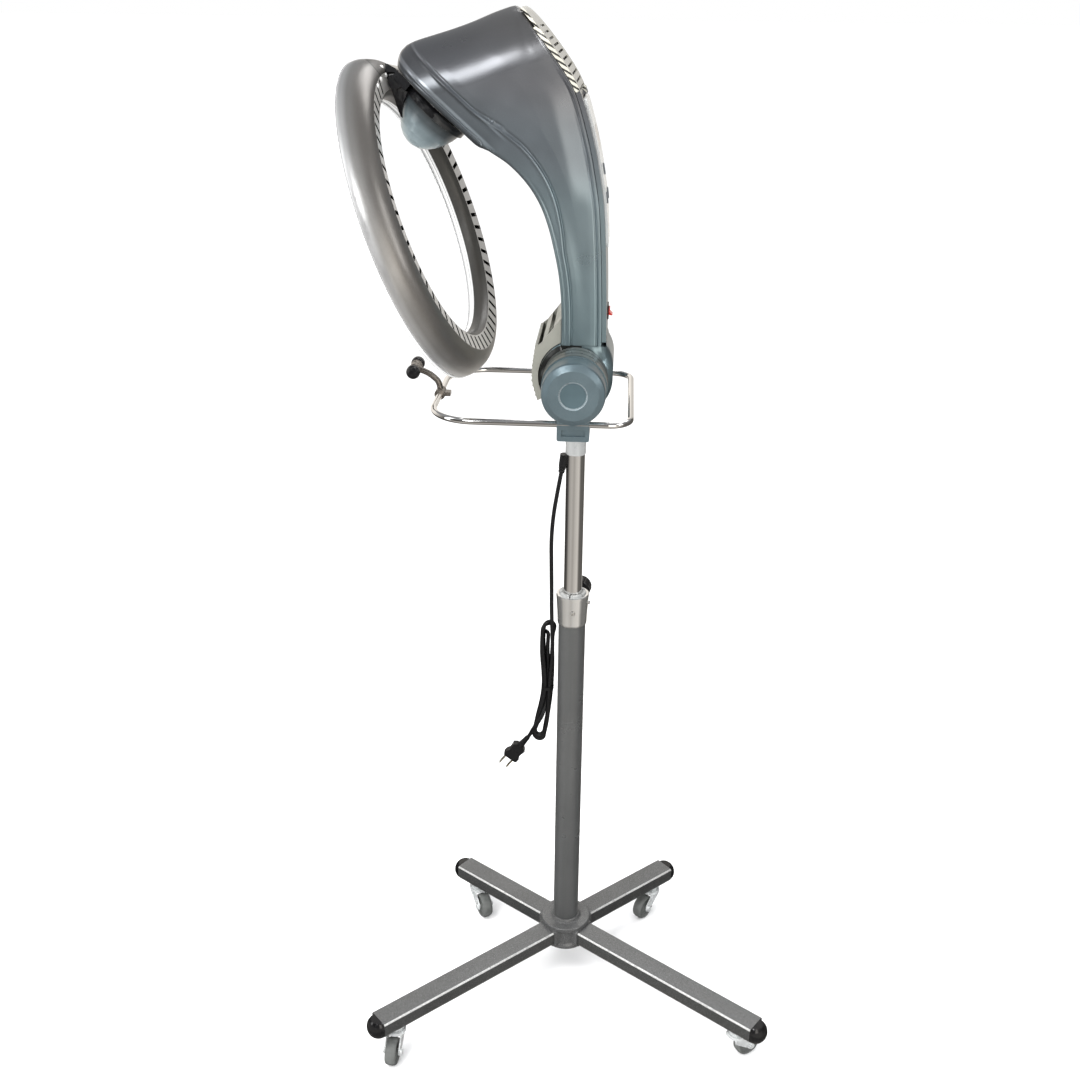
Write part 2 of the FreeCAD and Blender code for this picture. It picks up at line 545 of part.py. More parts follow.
# front band with the lip collar, rear bead
band_w = [12.0 + 16.0 * max(0.0, min(1.0, (z - 1130) / 130.0)) for x, z in fr]
inner_edge = []
for i, p in enumerate(fr):
    a, b = fr[max(i - 1, 0)], fr[min(i + 1, len(fr) - 1)]
    tx, tz = b[0] - a[0], b[1] - a[1]
    l = math.hypot(tx, tz)
    inner_edge.append((p[0] + tz / l * band_w[i], p[1] - tx / l * band_w[i]))
inner_edge = [q for q in inner_edge if q[0] > -95]
lipL = (LIP_LO[0] + 28 * 0.661 - 4, LIP_LO[1] + 28 * 0.750 + 3)
lipH = (LIP_HI[0] + 28 * 0.661 - 20, LIP_HI[1] + 28 * 0.750 + 17)
outside = [(-260, 1400), (-280, 1300), (-150, 1180), (-60, 1100), (-40, 1000), (inner_edge[0][0], 1000)]
band = prism_y(inner_edge + [lipL, lipH] + outside, -75, 75)
rin = [p for p in offset_open(re_, -10.5) if p[1] < 1392]
bead = prism_y(rin + [(80, 1000), (80, 1420), (-60, 1420)], -75, 75)
outer = skin.fuse(proud.common(band)).fuse(proud.common(bead))

# cavity
fi = offset_open(fr, -3.0)
cav_pts = [p for p in fi if p[0] > -108] + [(-119.5, 1257.6), (-214.4, 1341.5), (-211.5, 1350.5), (-205, 1355.8)] + \
    [(x + 1.0, z - 3.1) for x, z in to[6:-1]] + [p for p in offset_open(re_, -3.0) if p[1] < 1397]
cav_pts = [(cav_pts[0][0], 1000)] + cav_pts + [(cav_pts[-1][0], 1000)]
cavity = prism_y(cav_pts, -63.4, 63.4).common(arch(63.4, 0.5, 54))
head = outer.cut(cavity)

# neck round the barrel, with end walls that ride on the hinge shaft
nk = cyl(46.0, 135, V(HX, -67.5, HZ), Y)
nk = nk.fuse(prism_y([(-19, 990), (36.5, 990), (36.5, 1019.2), (-19, 1019.2)], -67.5, 67.5))
nk_in = cyl(43.0, 127.8, V(HX, -63.9, HZ), Y)
nk = nk.cut(nk_in).cut(prism_y([(-16, 990), (33.4, 990), (33.4, 1030), (-16, 1030)], -63.9, 63.9))
# open sector below: the cross bar swings through here
R2 = 200.0
def pol(r, a):
    return (HX + r * math.cos(D(a)), HZ + r * math.sin(D(a)))
sector = prism_y([pol(36.5, 193), pol(R2, 193), pol(R2, 240), pol(R2, 290), pol(R2, 322), pol(36.5, 322)] + [pol(36.5, a) for a in range(315, 193, -7)], -80, 80)
nk = nk.cut(sector)
nk = nk.cut(cyl(12.04, 200, V(HX, -100, HZ), Y))
arm = head.fuse(nk)
for s in (-1, 1):
    # boss for the bush inside each end wall
    b = pipe(16.0, 12.04, 10.0, V(HX, s * 57.5, HZ), V(0, s, 0))
    arm = arm.fuse(b)
# mouth of the head
U = V(-math.cos(D(GAM)), 0, -math.sin(D(GAM)))
E0 = V(math.sin(D(GAM)), 0, -math.cos(D(GAM)))
E1 = V(0, -1, 0)
AX = A0 + E0 * 4.5                                   # rotor axis point on the lip plane
arm = arm.cut(cyl(57.0, 24, AX - U * 10, U))
arm = arm.cut(cyl(12.04, 200, V(HX, -100, HZ), Y))

# rear cover: everything within 5 mm of the rear outline above the neck
rc_in = [p for p in offset_open(re_, -5.4)]
rc_in = [p for p in rc_in if p[1] < 1396 and p[1] > 1024]
rc_tool = prism_y(rc_in + [(rc_in[-1][0], 1024.0), (90, 1024.0), (90, 1440), (-60, 1440), (rc_in[0][0] + 1.0, rc_in[0][1] + 6)], -80, 80)
gap_in = [p for p in offset_open(re_, -5.6)]
gap_in = [p for p in gap_in if p[1] < 1396 and p[1] > 1023.8]
gap_tool = prism_y(gap_in + [(gap_in[-1][0], 1023.8), (90, 1023.8), (90, 1440), (-60.2, 1440), (gap_in[0][0] + 0.8, gap_in[0][1] + 6)], -80, 80)
rear = arm.common(rc_tool)
arm = arm.cut(gap_tool)
print("arm parts", [round(s.Volume / 1000, 1) for s in arm.Solids], "rear parts", [round(s.Volume / 1000, 1) for s in rear.Solids])
arm = one(arm)
rear = one(rear)

# grille slats: slots through the rear cover, high up
def rear_at(t):
    """point and unit tangent of the rear outline at height z"""
    for a, b in zip(re_[:-1], re_[1:]):
        if (a[1] - t) * (b[1] - t) <= 0:
            k = (a[1] - t) / (a[1] - b[1]) if a[1] != b[1] else 0
            p = V(a[0] + (b[0] - a[0]) * k, 0, t)
            d = V(b[0] - a[0], 0, b[1] - a[1]).normalize()
            return p, d
    raise RuntimeError("height")


def rear_frame(z, lift=0.0):
    """local frame on the rear face: x along Y, y up the face, z outwards"""
    p, d = rear_at(z)
    up = V(-d.x, 0, -d.z)
    n = V(0, 1, 0).cross(up)
    return frame(p + n * lift, V(0, 1, 0), up, n)


slots = []
for i in range(11):
    z = 1381.0 - 6.3 * i - 0.12 * i * i
    w = min(30 + 3.2 * i, 50)
    b = box(-w, w, -1.35, 1.35, -7, 6)
    slots.append(put(b, rear_frame(z)))
rear = one(rear.cut(Part.makeCompound(slots)))
# opening for the power switch
rear = rear.cut(put(box(-9.6, 9.6, -7.4, 7.4, -9, 6), rear_frame(1047.5)))
save("head_arm_shell", arm)

# control panel: thin curved plate on the rear cover
pa = [p for p in offset_open(re_, 0.05) if 1120 < p[1] < 1318]
pb = [p for p in offset_open(re_, 2.6) if 1120 < p[1] < 1318]
pan = Part.Face(Part.Wire([spl(pa, -50), Part.LineSegment(V(pa[-1][0], -50, pa[-1][1]), V(pb[-1][0], -50, pb[-1][1])).toShape(),
                           spl(pb[::-1], -50), Part.LineSegment(V(pb[0][0], -50, pb[0][1]), V(pa[0][0], -50, pa[0][1])).toShape()])).extrude(V(0, 100, 0))
edge = fillet(box(-20, 60, -46, 46, 1134, 1304), 9.0, lambda e: along(e, V(1, 0, 0)))
pan = pan.common(edge)
DISP_Z = 1258.0
win = put(box(-28, 28, -13, 13, -4, 6), rear_frame(DISP_Z, 0.9))
pan = pan.cut(win)
BTN = [(0, 1220.6), (-20, 1189.7), (20, 1189.7)]
for yy, z in BTN:
    pan = pan.cut(put(cyl(7.2, 12, V(yy, 0, -4)), rear_frame(z, 0)))
    rear = rear.cut(put(cyl(4.2, 16, V(yy, 0, -10)), rear_frame(z, 0)))
# block at the foot of the grille, moulded on the rear cover
blockp = put(fillet(box(-9, 9, -4.5, 4.5, -2.0, 4.6), 1.2, lambda e: e.CenterOfMass.z > 4.5), rear_frame(1310.5))
save("rear_cover", one(rear.fuse(blockp)))
save("control_panel", one(pan))
save("display_window", put(box(-27.8, 27.8, -12.8, 12.8, 0.15, 1.6), rear_frame(DISP_Z, 0.9)))
for i, (yy, z) in enumerate(BTN):
    cap = cyl(6.9, 2.6, V(yy, 0, 1.6)).fuse(cyl(3.9, 8.6, V(yy, 0, -7.0)))
    cap = fillet(one(cap), 0.8, lambda e: isinstance(e.Curve, Part.Circle) and e.Curve.Radius > 6 and e.CenterOfMass.z > 4)
    save("panel_button_%d" % (i + 1), put(cap, rear_frame(z, 0)))

# power switch: bezel with body, and rocker
sf = rear_frame(1047.5)
bez = box(-11.5, 11.5, -8.8, 8.8, 0.05, 1.8)
bez = fillet(bez, 1.2, lambda e: e.CenterOfMass.z > 1.75)
body = box(-9.4, 9.4, -7.2, 7.2, -16, 0.2)
bez = bez.fuse(body).cut(box(-7.6, 7.6, -5.7, 5.7, -9, 4))
bez = bez.cut(cyl(1.24, 18.0, V(-9.0, 0, 0), V(1, 0, 0)))
save("switch_bezel", put(one(bez), sf))
rk = poly_face([(-7.3, -4.6, 5.9), (-7.3, -4.0, 6.6), (-7.3, 0.0, 2.7), (-7.3, 4.0, 3.5), (-7.3, 4.6, 2.8), (-7.3, 3.0, -3.4), (-7.3, -3.0, -3.4)]).extrude(V(14.6, 0, 0))
rk = rk.fuse(cyl(1.2, 17.2, V(-8.6, 0, 0), V(1, 0, 0)))   # with the pins it rocks on
save("power_switch", put(one(rk), sf))

# front cover of the neck, with a beaded edge
co = [(-19.5, 1050.5), (-27, 1040.5), (-43, 1020), (-50, 1014.5), (-54.3, 985), (-54.3, 968), (-47.8, 945.2)]
ci = [pol(47.3, 214.5 - 4 * k) for k in range(0, 26)]
ci = [p for p in ci if p[0] < -19.5] + [(-19.5, 1020.5)]
cov = prism_y(co + ci, -61, 61)
co2 = [(-21.9, 1043), (-28.9, 1038.2), (-41.8, 1021.4), (-47.8, 1016.4), (-51.8, 985), (-51.8, 969), (-47.6, 953.5)]
ci2 = [pol(49.0, 205 - 4 * k) for k in range(0, 24)]
ci2 = [p for p in ci2 if p[0] < -21.9] + [(-21.9, 1023)]
cov = cov.cut(prism_y(co2 + ci2, -58.6, 58.6))
beads = []
path = co[2:]
acc, step, nxt = 0.0, 6.4, 3.0
for a, b in zip(path[:-1], path[1:]):
    L = math.hypot(b[0] - a[0], b[1] - a[1])
    while nxt < acc + L:
        k = (nxt - acc) / L
        x, z = a[0] + (b[0] - a[0]) * k, a[1] + (b[1] - a[1]) * k
        beads.append(lathe([(0, -57), (0.9, -57), (1.7, -56), (1.7, 56), (0.9, 57), (0, 57)], V(x, 0, z), Y))
        nxt += step
    acc += L
cov = cov.fuse(beads)
save("neck_front_cover", one(cov))
bu = []
for s in (-1, 1):
    bu.append(lathe([(SHAFT_R + 0.06, 56.5), (15.0, 56.5), (15.0, 57.45), (12.0, 57.45), (12.0, 67.4), (SHAFT_R + 0.06, 67.4)], V(HX, 0, HZ), V(0, s, 0)))
save("hinge_bushes", group(bu))

# control board behind the panel
bd = put(box(-40, 40, -62, 62, -13.6, -12.0), rear_frame(1215))
chips = [put(box(x, x + w, y, y + h, -18.0 - 4 * k, -13.65), rear_frame(1215)) for k, (x, y, w, h) in enumerate([(-30, -50, 22, 24), (6, -44, 18, 16), (-26, 10, 14, 14), (8, 20, 22, 26)])]
save("control_board", group([bd] + chips))

# ---------------------------------------------------------------------------
# rotor: drive inside the head, cup, bracket
# ---------------------------------------------------------------------------
def rot_frame(h=0.0, s=0.0):
    """x along E0, y along E1, z along the rotor axis, out of the mouth"""
    return frame(AX + U * h + E0 * s, E0, U.cross(E0), U)


# plate across the mouth, behind the lip
plate = cyl(59.0, 3.0, AX - U * 10.2, U)
plate = plate.common(prism_y([p for p in cav_pts], -62.9, 62.9).common(arch(62.9, 0.0, 54)))
plate = plate.fuse(pipe(18.0, 13.04, 16.0, AX - U * 26.0, U)).cut(cyl(13.04, 80, AX - U * 60, U))
bear = []
for h in (-25.0, -16.0):
    bear.append(pipe(13.0, 10.6, 7.0, AX + U * h, U))
    bear.append(pipe(9.4, 8.0 + 0.02, 7.0, AX + U * h, U))
inner_races = [b for i, b in enumerate(bear) if i % 2 == 1]
# hollow output shaft with its collars
shaft = lathe([(3.1, -33), (8.0, -33), (8.0, 2.0), (20.0, 2.0), (20.0, 5.0), (3.1, 5.0)], AX, U)
save("rotor_shaft", group([one(shaft)] + inner_races))
# geared motor on two posts, its output pin reaching into the shaft
mot = lathe([(0, -84), (21.0, -84), (22.5, -82.5), (22.5, -56), (25.0, -55.5), (25.0, -37.5), (24.0, -36.5), (6.0, -36.5), (6.0, -35.0), (3.0, -35.0), (3.0, -26), (0, -26)], AX, U)
mb1 = []
for sg in (-1, 1):
    post = cyl(3.2, 45.2, AX - U * 54.9 + E1 * 31 * sg, U)
    tab = put(box(-5, 5, 24.0, 35.0, -54.9, -52.4) if sg > 0 else box(-5, 5, -35.0, -24.0, -54.9, -52.4), rot_frame())
    plate = plate.fuse(post.fuse(tab).cut(cyl(25.05, 60, AX - U * 80, U)))
save("rotor_mount_plate", group([one(plate)] + [b for i, b in enumerate(bear) if i % 2 == 0]))
# slip ring round the shaft, between the motor and the bearings
slip = pipe(14.5, 8.4, 5.6, AX - U * 32.6, U)
save("orbit_motor", group([mot, slip]))

# cup under the mouth
cup_o = [(0, 62.0), (7, 61.2), (14, 58.6), (21, 53.6), (28, 45.5), (33.5, 36), (37.6, 26), (40.2, 16.0)]
cup_i = [(37.4, 16.0), (35.0, 25), (31.2, 34.6), (26.2, 43.4), (19.6, 51.0), (13, 55.8), (6.5, 58.2), (0, 58.9)]
save("rotor_cup", lathe(cup_o + cup_i, AX, U))

# heat ring frame: x towards the bracket, z out of the front
PH, BE = D(PHI), D(BETA)
ER = E0 * math.cos(PH) + E1 * math.sin(PH)
ET = U.cross(ER)
RC = A0 + U * HH + ER * RHO
NF = U * math.cos(BE) - ER * math.sin(BE)
PX = (U * math.sin(BE) + ER * math.cos(BE)) * -1.0
RF = frame(RC, PX, NF.cross(PX), NF)
TR, TA, KS = 23.9, 20.8, 0.38


def sec(a, off=0.0):
    """point of the ring's section at angle a (0 outer, 90 front, 180 inner, 270 rear)"""
    c, s = math.cos(D(a)), math.sin(D(a))
    e = 0.75
    r = (TR - off) * math.copysign(abs(c) ** e, c)
    z = (TA - off) * math.copysign(abs(s) ** e, s)
    return RING_R + r + KS * z, z


def arc_pts(a0, a1, n, off=0.0):
    return [sec(a0 + (a1 - a0) * i / n, off) for i in range(n + 1)]


def ring_lathe(pts, m=RF):
    f = poly_face([(r, 0, h) for r, h in pts])
    s = f.revolve(V(0, 0, 0), V(0, 0, 1), 360)
    s = s if s.ShapeType == "Solid" else Part.Solid(s)
    if s.Volume < 0:
        s.reverse()
    return s


def smooth_lathe(outer_pts, inner_pts):
    """revolve a closed section made of two smooth curves joined by short lines"""
    a = Part.BSplineCurve()
    a.interpolate([V(r, 0, h) for r, h in outer_pts])
    b = Part.BSplineCurve()
    b.interpolate([V(r, 0, h) for r, h in inner_pts])
    E = [a.toShape(), Part.LineSegment(V(outer_pts[-1][0], 0, outer_pts[-1][1]), V(inner_pts[0][0], 0, inner_pts[0][1])).toShape(),
         b.toShape(), Part.LineSegment(V(inner_pts[-1][0], 0, inner_pts[-1][1]), V(outer_pts[0][0], 0, outer_pts[0][1])).toShape()]
    f = Part.Face(Part.Wire(E))
    s = f.revolve(V(0, 0, 0), V(0, 0, 1), 360)
    s = s if s.ShapeType == "Solid" else Part.Solid(s)
    if s.Volume < 0:
        s.reverse()
    return s


# rear shell: smooth back from the front seam outside to the flat slotted band,
# then the inner wall up to the front
A_SEAM, A_CH0 = 40.0, -75.0
wall_out = arc_pts(A_SEAM, A_CH0, 26)
band_o = wall_out[-1]
band_i = (153.6, -17.3)
wall_in = [band_i, (150.6, -15.0), (148.3, -10.8), (147.2, -5.0), (147.5, 1.0), (148.7, 5.0), (149.8, 8.4)]
wall_in = catmull(wall_in, 3)
TH = 2.4


def spline_edge(P):
    c = Part.BSplineCurve()
    c.interpolate([V(r, 0, h) for r, h in P])
    return c.toShape()


def seg(a, b):
    return Part.LineSegment(V(a[0], 0, a[1]), V(b[0], 0, b[1])).toShape()


def spin(face):
    s = face.revolve(V(0, 0, 0), V(0, 0, 1), 360)
    s = s if s.ShapeType == "Solid" else Part.Solid(s)
    if s.Volume < 0:
        s.reverse()
    return s


wo = offset_open(wall_out, -TH)
wi = offset_open(wall_in, -TH)
wo[-1] = (wo[-1][0] - 0.6, band_o[1] + TH)
wi[0] = (wi[0][0] + 1.0, band_i[1] + TH + 0.2)
rsh = spin(Part.Face(Part.Wire([spline_edge(wall_out), seg(band_o, band_i), spline_edge(wall_in), seg(wall_in[-1], wi[-1]),
                                spline_edge(wi[::-1]), seg(wi[0], wo[-1]), spline_edge(wo[::-1]), seg(wo[0], wall_out[0])])))
print("ring shell", rsh.isValid(), rsh.Volume / 1000)
cut = []
for i in range(N_SLOTS):
    a = 2 * math.pi * (i + 0.5) / N_SLOTS
    if abs(((a + math.pi) % (2 * math.pi)) - math.pi) < D(16):
        continue                                               # blank under the mounting pad
    m = frame(V(0, 0, 0), V(math.cos(a), math.sin(a), 0), V(-math.sin(a), math.cos(a), 0), V(0, 0, 1))
    cut.append(put(box(155.2, 172.4, -2.5, 2.5, -26, -10), m))
rsh = rsh.cut(Part.makeCompound(cut))
# front reflector: rim and trough that holds the lamps
rf_pts = [(197.2, 15.3), (196.6, 17.4), (194.6, 19.2), (192.4, 19.4), (190.6, 17.2), (187.4, 9.6), (182.0, 2.8), (174.0, -1.2), (165.4, -1.4), (158.4, 2.6),
          (153.8, 8.0), (152.2, 10.9), (150.6, 11.2), (149.9, 8.8)]
rf_o = catmull(rf_pts, 3)
rf_b = offset_open(rf_o, -1.4)
rf_b[0] = (rf_o[0][0] - 1.4, rf_o[0][1])
rf_b[-1] = (rf_o[-1][0] + 1.4, rf_o[-1][1])
ref = spin(Part.Face(Part.Wire([spline_edge(rf_o), seg(rf_o[-1], rf_b[-1]), spline_edge(rf_b[::-1]), seg(rf_b[0], rf_o[0])])))
print("reflector valid", ref.isValid(), ref.Volume / 1000)
save("ring_front_reflector", put(one(ref), RF))

# two lamps, one behind the other round the trough
lamps, clips, ends = [], [], []
LR, LZ, LT = 169.8, 9.6, 5.0
for k in range(2):
    t = Part.makeTorus(LR, LT, V(0, 0, LZ))
    keep = poly_face([(0, 0, -40)] + [(400 * math.cos(D(a)), 400 * math.sin(D(a)), -40) for a in range(6 + 180 * k, 175 + 180 * k, 12)]).extrude(V(0, 0, 80))
    lamps.append(one(t.common(keep)))
save("heat_lamps", put(group(lamps), RF))
for a in (0, 180):
    m = frame(V(LR * math.cos(D(a)), LR * math.sin(D(a)), LZ), V(math.cos(D(a)), math.sin(D(a)), 0), V(-math.sin(D(a)), math.cos(D(a)), 0), V(0, 0, 1))
    e = box(-7.0, 7.0, -15.5, 15.5, -5.2, 6.4)
    e = fillet(e, 1.2, lambda q: along(q, V(0, 1, 0)))
    # sockets for the lamp ends
    ends.append(put(e, m))
trim = []
for e in ends:
    x = e
    for l in lamps:
        x = x.cut(l)
    trim.append(one(x))
save("lamp_sockets", put(group(trim), RF))
for a in (38, 71, 109, 142, 218, 251, 289, 322):
    m = frame(V(LR * math.cos(D(a)), LR * math.sin(D(a)), LZ), V(math.cos(D(a)), math.sin(D(a)), 0), V(-math.sin(D(a)), math.cos(D(a)), 0), V(0, 0, 1))
    loop = Part.makeTorus(LT + 1.0, 0.8, V(0, 0, 0), V(0, 1, 0))
    leg = cyl(0.8, 3.7, V(0, 0, -9.9))
    c = loop.fuse(leg)
    clips.append(put(one(c), m))
save("lamp_clips", put(group(clips), RF))

# bracket between the rotor and the ring, in the plane of the rotor axis and the ring's near point
BF = frame(A0, ER, ET, U)                            # x = s, y = t, z = h
disc = lathe([(0, 5.1), (38.0, 5.1), (42.0, 7.6), (43.0, 11.0), (43.0, 15.6), (41.6, 15.9), (0, 15.9)], AX, U)
band_h = lambda sg: 98.2 - 0.4726 * ((87.4 - sg) / 0.8813) - 0.15
arm_pts = [(-30, 5.4), (-57, 5.4), (-68, 8.6), (-71.5, 11.2), (-66.0, band_h(-66.0)), (-50.2, band_h(-50.2)), (-45.5, 25.4), (-40, 21.0), (-36.9, 15.9), (-30, 15.9)]
foot = Part.Face(Part.makePolygon([V(a, -40, b) for a, b in arm_pts] + [V(arm_pts[0][0], -40, arm_pts[0][1])])).extrude(V(0, 80, 0))
plan = poly_face([(-25, -36, 0), (-25, 36, 0), (-50, 30, 0), (-66, 27, 0), (-73, 21, 0), (-73, -21, 0), (-66, -27, 0), (-50, -30, 0)]).extrude(V(0, 0, 60))
foot = foot.common(plan)
ribs = []
for sg in (-1, 1):
    rp = [(-36.9, 15.0), (-28.9, 15.0), (-25.4, 26), (-19.8, 36), (-14.9, 41.6), (-17.0, 41.9), (-26, 37.5), (-36, 31.5), (-46.5, 26.0), (-48, 20)]
    y0 = 24.5 if sg > 0 else -27.5
    ribs.append(Part.Face(Part.makePolygon([V(a, y0, b) for a, b in rp] + [V(rp[0][0], y0, rp[0][1])])).extrude(V(0, 3.0, 0)))
brk = foot.fuse(ribs)
brk = put(brk, BF).fuse(disc)
# stay clear of the cup and of the ring's round
brk = brk.cut(lathe([(0, 16.0), (40.45, 16.0)] + [(r + 0.25, h + 0.1) for r, h in cup_o[::-1]][1:] + [(0, 62.2)], AX, U))
keepout = spin(Part.Face(Part.Wire([spline_edge(wall_out),
                                    seg(band_o, (band_i[0], band_i[1])), seg((band_i[0], band_i[1]), (153.6, 30)), seg((153.6, 30), (wall_out[0][0], 30)), seg((wall_out[0][0], 30), wall_out[0])])))
brk = brk.cut(put(keepout, RF))
brk = brk.cut(cyl(3.1, 40, AX - U * 5, U))

# plate inside the ring and the screws that clamp the ring to it
sect = poly_face([(120 * math.cos(D(a)), 120 * math.sin(D(a)), -60) for a in (-30, 30)] + [(260 * math.cos(D(a)), 260 * math.sin(D(a)), -60) for a in (30, 15, 0, -15, -30)]).extrude(V(0, 0, 120))
pl = spin(poly_face([(r, 0, h) for r, h in [(157.5, -14.9), (171.0, -17.0), (176.0, -16.5), (181.0, -14.7), (184.0, -12.6), (184.0, -10.2), (181.0, -12.2), (171.0, -13.8), (157.5, -11.7)]])).common(sect)
screws = []
PADS = [(180.0, -8), (182.0, 3), (180.0, 14), (170.0, -26), (170.0, -18), (170.0, -9), (172.5, 3), (171.0, 14)]


def surf_at(r):
    for (r0, h0), (r1, h1) in zip(wall_out[:-1], wall_out[1:]):
        if (r0 - r) * (r1 - r) <= 0 and h0 < 0:
            k = (r - r0) / (r1 - r0)
            return h0 + (h1 - h0) * k
    return band_o[1] + (band_i[1] - band_o[1]) * (band_o[0] - r) / (band_o[0] - band_i[0])


rsh2 = one(rsh)
for r, a in PADS:
    c = V(r * math.cos(D(a)), r * math.sin(D(a)), surf_at(r))
    k = surf_at(r + 0.5) - surf_at(r - 0.5)
    zc = V(-k * math.cos(D(a)), -k * math.sin(D(a)), 1).normalize()      # square to the pad, inwards
    c = c - zc * 0.08
    head_ = lathe([(0, -1.5), (1.6, -1.3), (2.6, -0.5), (2.7, 0.0), (1.5, 0.0), (1.5, 8.2), (0, 8.2)], c, zc)
    xs = V(0, 1, 0).cross(zc).normalize()
    head_ = head_.cut(put(box(-1.9, 1.9, -0.3, 0.3, -1.6, -0.9), frame(c, xs, zc.cross(xs), zc)))
    screws.append(one(head_))
    rsh2 = rsh2.cut(cyl(1.58, 12, c - zc * 3, zc))
    pl = pl.cut(cyl(1.55, 20, c - zc * 3, zc))
    # room for the head where the bracket's foot is near
    brk = brk.cut(put(cyl(3.05, 16.0, c + zc * 0.1, zc * -1), RF))
save("ring_bracket", one(brk))
save("ring_rear_shell", put(one(rsh2), RF))
save("ring_fixings", put(group([one(pl)] + screws), RF))

# ---------------------------------------------------------------------------
# mains cord: drop, hank, tail, tie and plug (all hang from the mast)
# ---------------------------------------------------------------------------
rep = []
drop = sweep(bent_path(CORD_OUT, None, False, rep), CORD_D / 2)
L = sum((V(*b) - V(*a)).Length for a, b in zip(CORD_OUT[:-1], CORD_OUT[1:]))
print("cord_drop bends (angle, radius)", rep, "length %.0f, volume/section %.0f" % (L, drop.Volume / (math.pi * CORD_D ** 2 / 4)))
save("cord_drop", drop)
TAIL = [(-51.0, 5.0, 433.5), (-56.2, 4.8, 418.5), (-61.6, 4.4, 406.5)]
rep = []
PLUG_DIR = V(-0.60, 0, -0.80)
tail_end = V(*TAIL[-1])
past = tail_end + (tail_end - V(*TAIL[-2])).normalize() * 1.2
tail = sweep(bent_path(TAIL[:-1] + [(past.x, past.y, past.z)], None, False, rep), CORD_D / 2)
tail = one(tail.cut(cyl(12, 12, tail_end, PLUG_DIR)))
L = sum((V(*b) - V(*a)).Length for a, b in zip(TAIL[:-1], TAIL[1:]))
print("cord_tail bends (angle, radius)", rep, "length %.0f, volume/section %.0f" % (L, tail.Volume / (math.pi * CORD_D ** 2 / 4)))
save("cord_tail", tail)


def ell(z, cx, cy, rx, ry):
    pts = [V(cx + rx * math.cos(D(a)), cy + ry * math.sin(D(a)), z) for a in range(0, 360, 24)]
    c = Part.BSplineCurve()
    c.interpolate(pts, True)
    return Part.Wire([c.toShape()])


HANK = [(607, -31.0, 4.2, 5.4, 5.0), (595, -33.6, 4.0, 8.6, 6.2), (574, -34.6, 4.0, 9.4, 6.8), (545, -34.0, 4.0, 8.2, 7.4), (520, -33.4, 4.2, 7.6, 7.8),
        (494, -33.4, 4.5, 7.4, 7.8), (466, -36.2, 5.0, 8.8, 8.0), (440, -40.4, 5.2, 9.8, 7.4), (420, -43.4, 5.2, 9.8, 6.4), (403, -45.4, 5.0, 6.6, 4.6)]
hank = Part.makeLoft([ell(*h) for h in HANK], True, False)
hank = hank if hank.ShapeType == "Solid" else Part.Solid(hank)
hank = one(hank.cut(tail))
save("cord_hank", hank)
tie_o = Part.makeLoft([ell(491.5, -33.5, 4.6, 8.9, 9.3), ell(496.5, -33.3, 4.5, 8.9, 9.3)], True, False)
tie = one(tie_o.cut(Part.makeLoft([ell(h, c_, d_, e_ + 0.02, f_ + 0.02) for h, c_, d_, e_, f_ in ((470, -35.5, 4.9, 8.3, 7.8), (494, -33.4, 4.5, 7.75, 8.05), (520, -33.4, 4.2, 7.8, 8.0))], True, False)))
save("cord_tie", tie)
Q0 = V(*TAIL[-1])
pd = PLUG_DIR
relief = lathe([(0, 0), (3.5, 0), (3.8, 1.5), (3.8, 3.0), (3.2, 3.5), (3.2, 4.5), (4.1, 5.0), (4.1, 6.8), (3.5, 7.3), (3.5, 8.3), (4.4, 8.8), (4.4, 10.8), (3.8, 11.3), (3.8, 12.3), (4.8, 12.8),
                (4.8, 15.5), (5.4, 18.5), (0, 18.5)], Q0, pd)
pf = frame(Q0, V(-0.8, 0, 0.6), V(0, 1, 0), V(-0.8, 0, 0.6).cross(V(0, 1, 0)))
zz = V(-0.8, 0, 0.6).cross(V(0, 1, 0))
sgn = 1.0 if zz.dot(pd) > 0 else -1.0
body = poly_face([(-6, 17.5 * sgn, 0), (-10.5, 21 * sgn, 0), (-9.2, 27 * sgn, 0), (-8.8, 32 * sgn, 0), (-11.6, 37 * sgn, 0), (-11.6, 43 * sgn, 0), (-9.8, 45 * sgn, 0), (9.8, 45 * sgn, 0),
                  (11.6, 43 * sgn, 0), (11.6, 37 * sgn, 0), (8.8, 32 * sgn, 0), (9.2, 27 * sgn, 0), (10.5, 21 * sgn, 0), (6, 17.5 * sgn, 0)])
bodyx = body.extrude(V(0, 0, 11.0)).translated(V(0, 0, -5.5))
pm = frame(Q0, V(-0.8, 0, 0.6), pd * sgn, V(-0.8, 0, 0.6).cross(pd * sgn))
bodyx = put(bodyx, pm)
bodyx = fillet(bodyx, 2.2, lambda e: e.Length > 5.2 and abs(e.CenterOfMass.y - Q0.y) > 5.3)
plug = relief.fuse(bodyx)
blades = []
for sg in (-1, 1):
    bl = box(sg * 6.35 - 0.75, sg * 6.35 + 0.75, 45.0 if sgn > 0 else -61.5, 61.5 if sgn > 0 else -45.0, -3.15, 3.15)
    hb = cyl(1.6, 4, V(sg * 6.35 - 2, (58.0) * sgn, 0), V(1, 0, 0))
    blades.append(put(one(bl.cut(hb)), pm))
save("plug", one(plug))
save("plug_blades", group(blades))

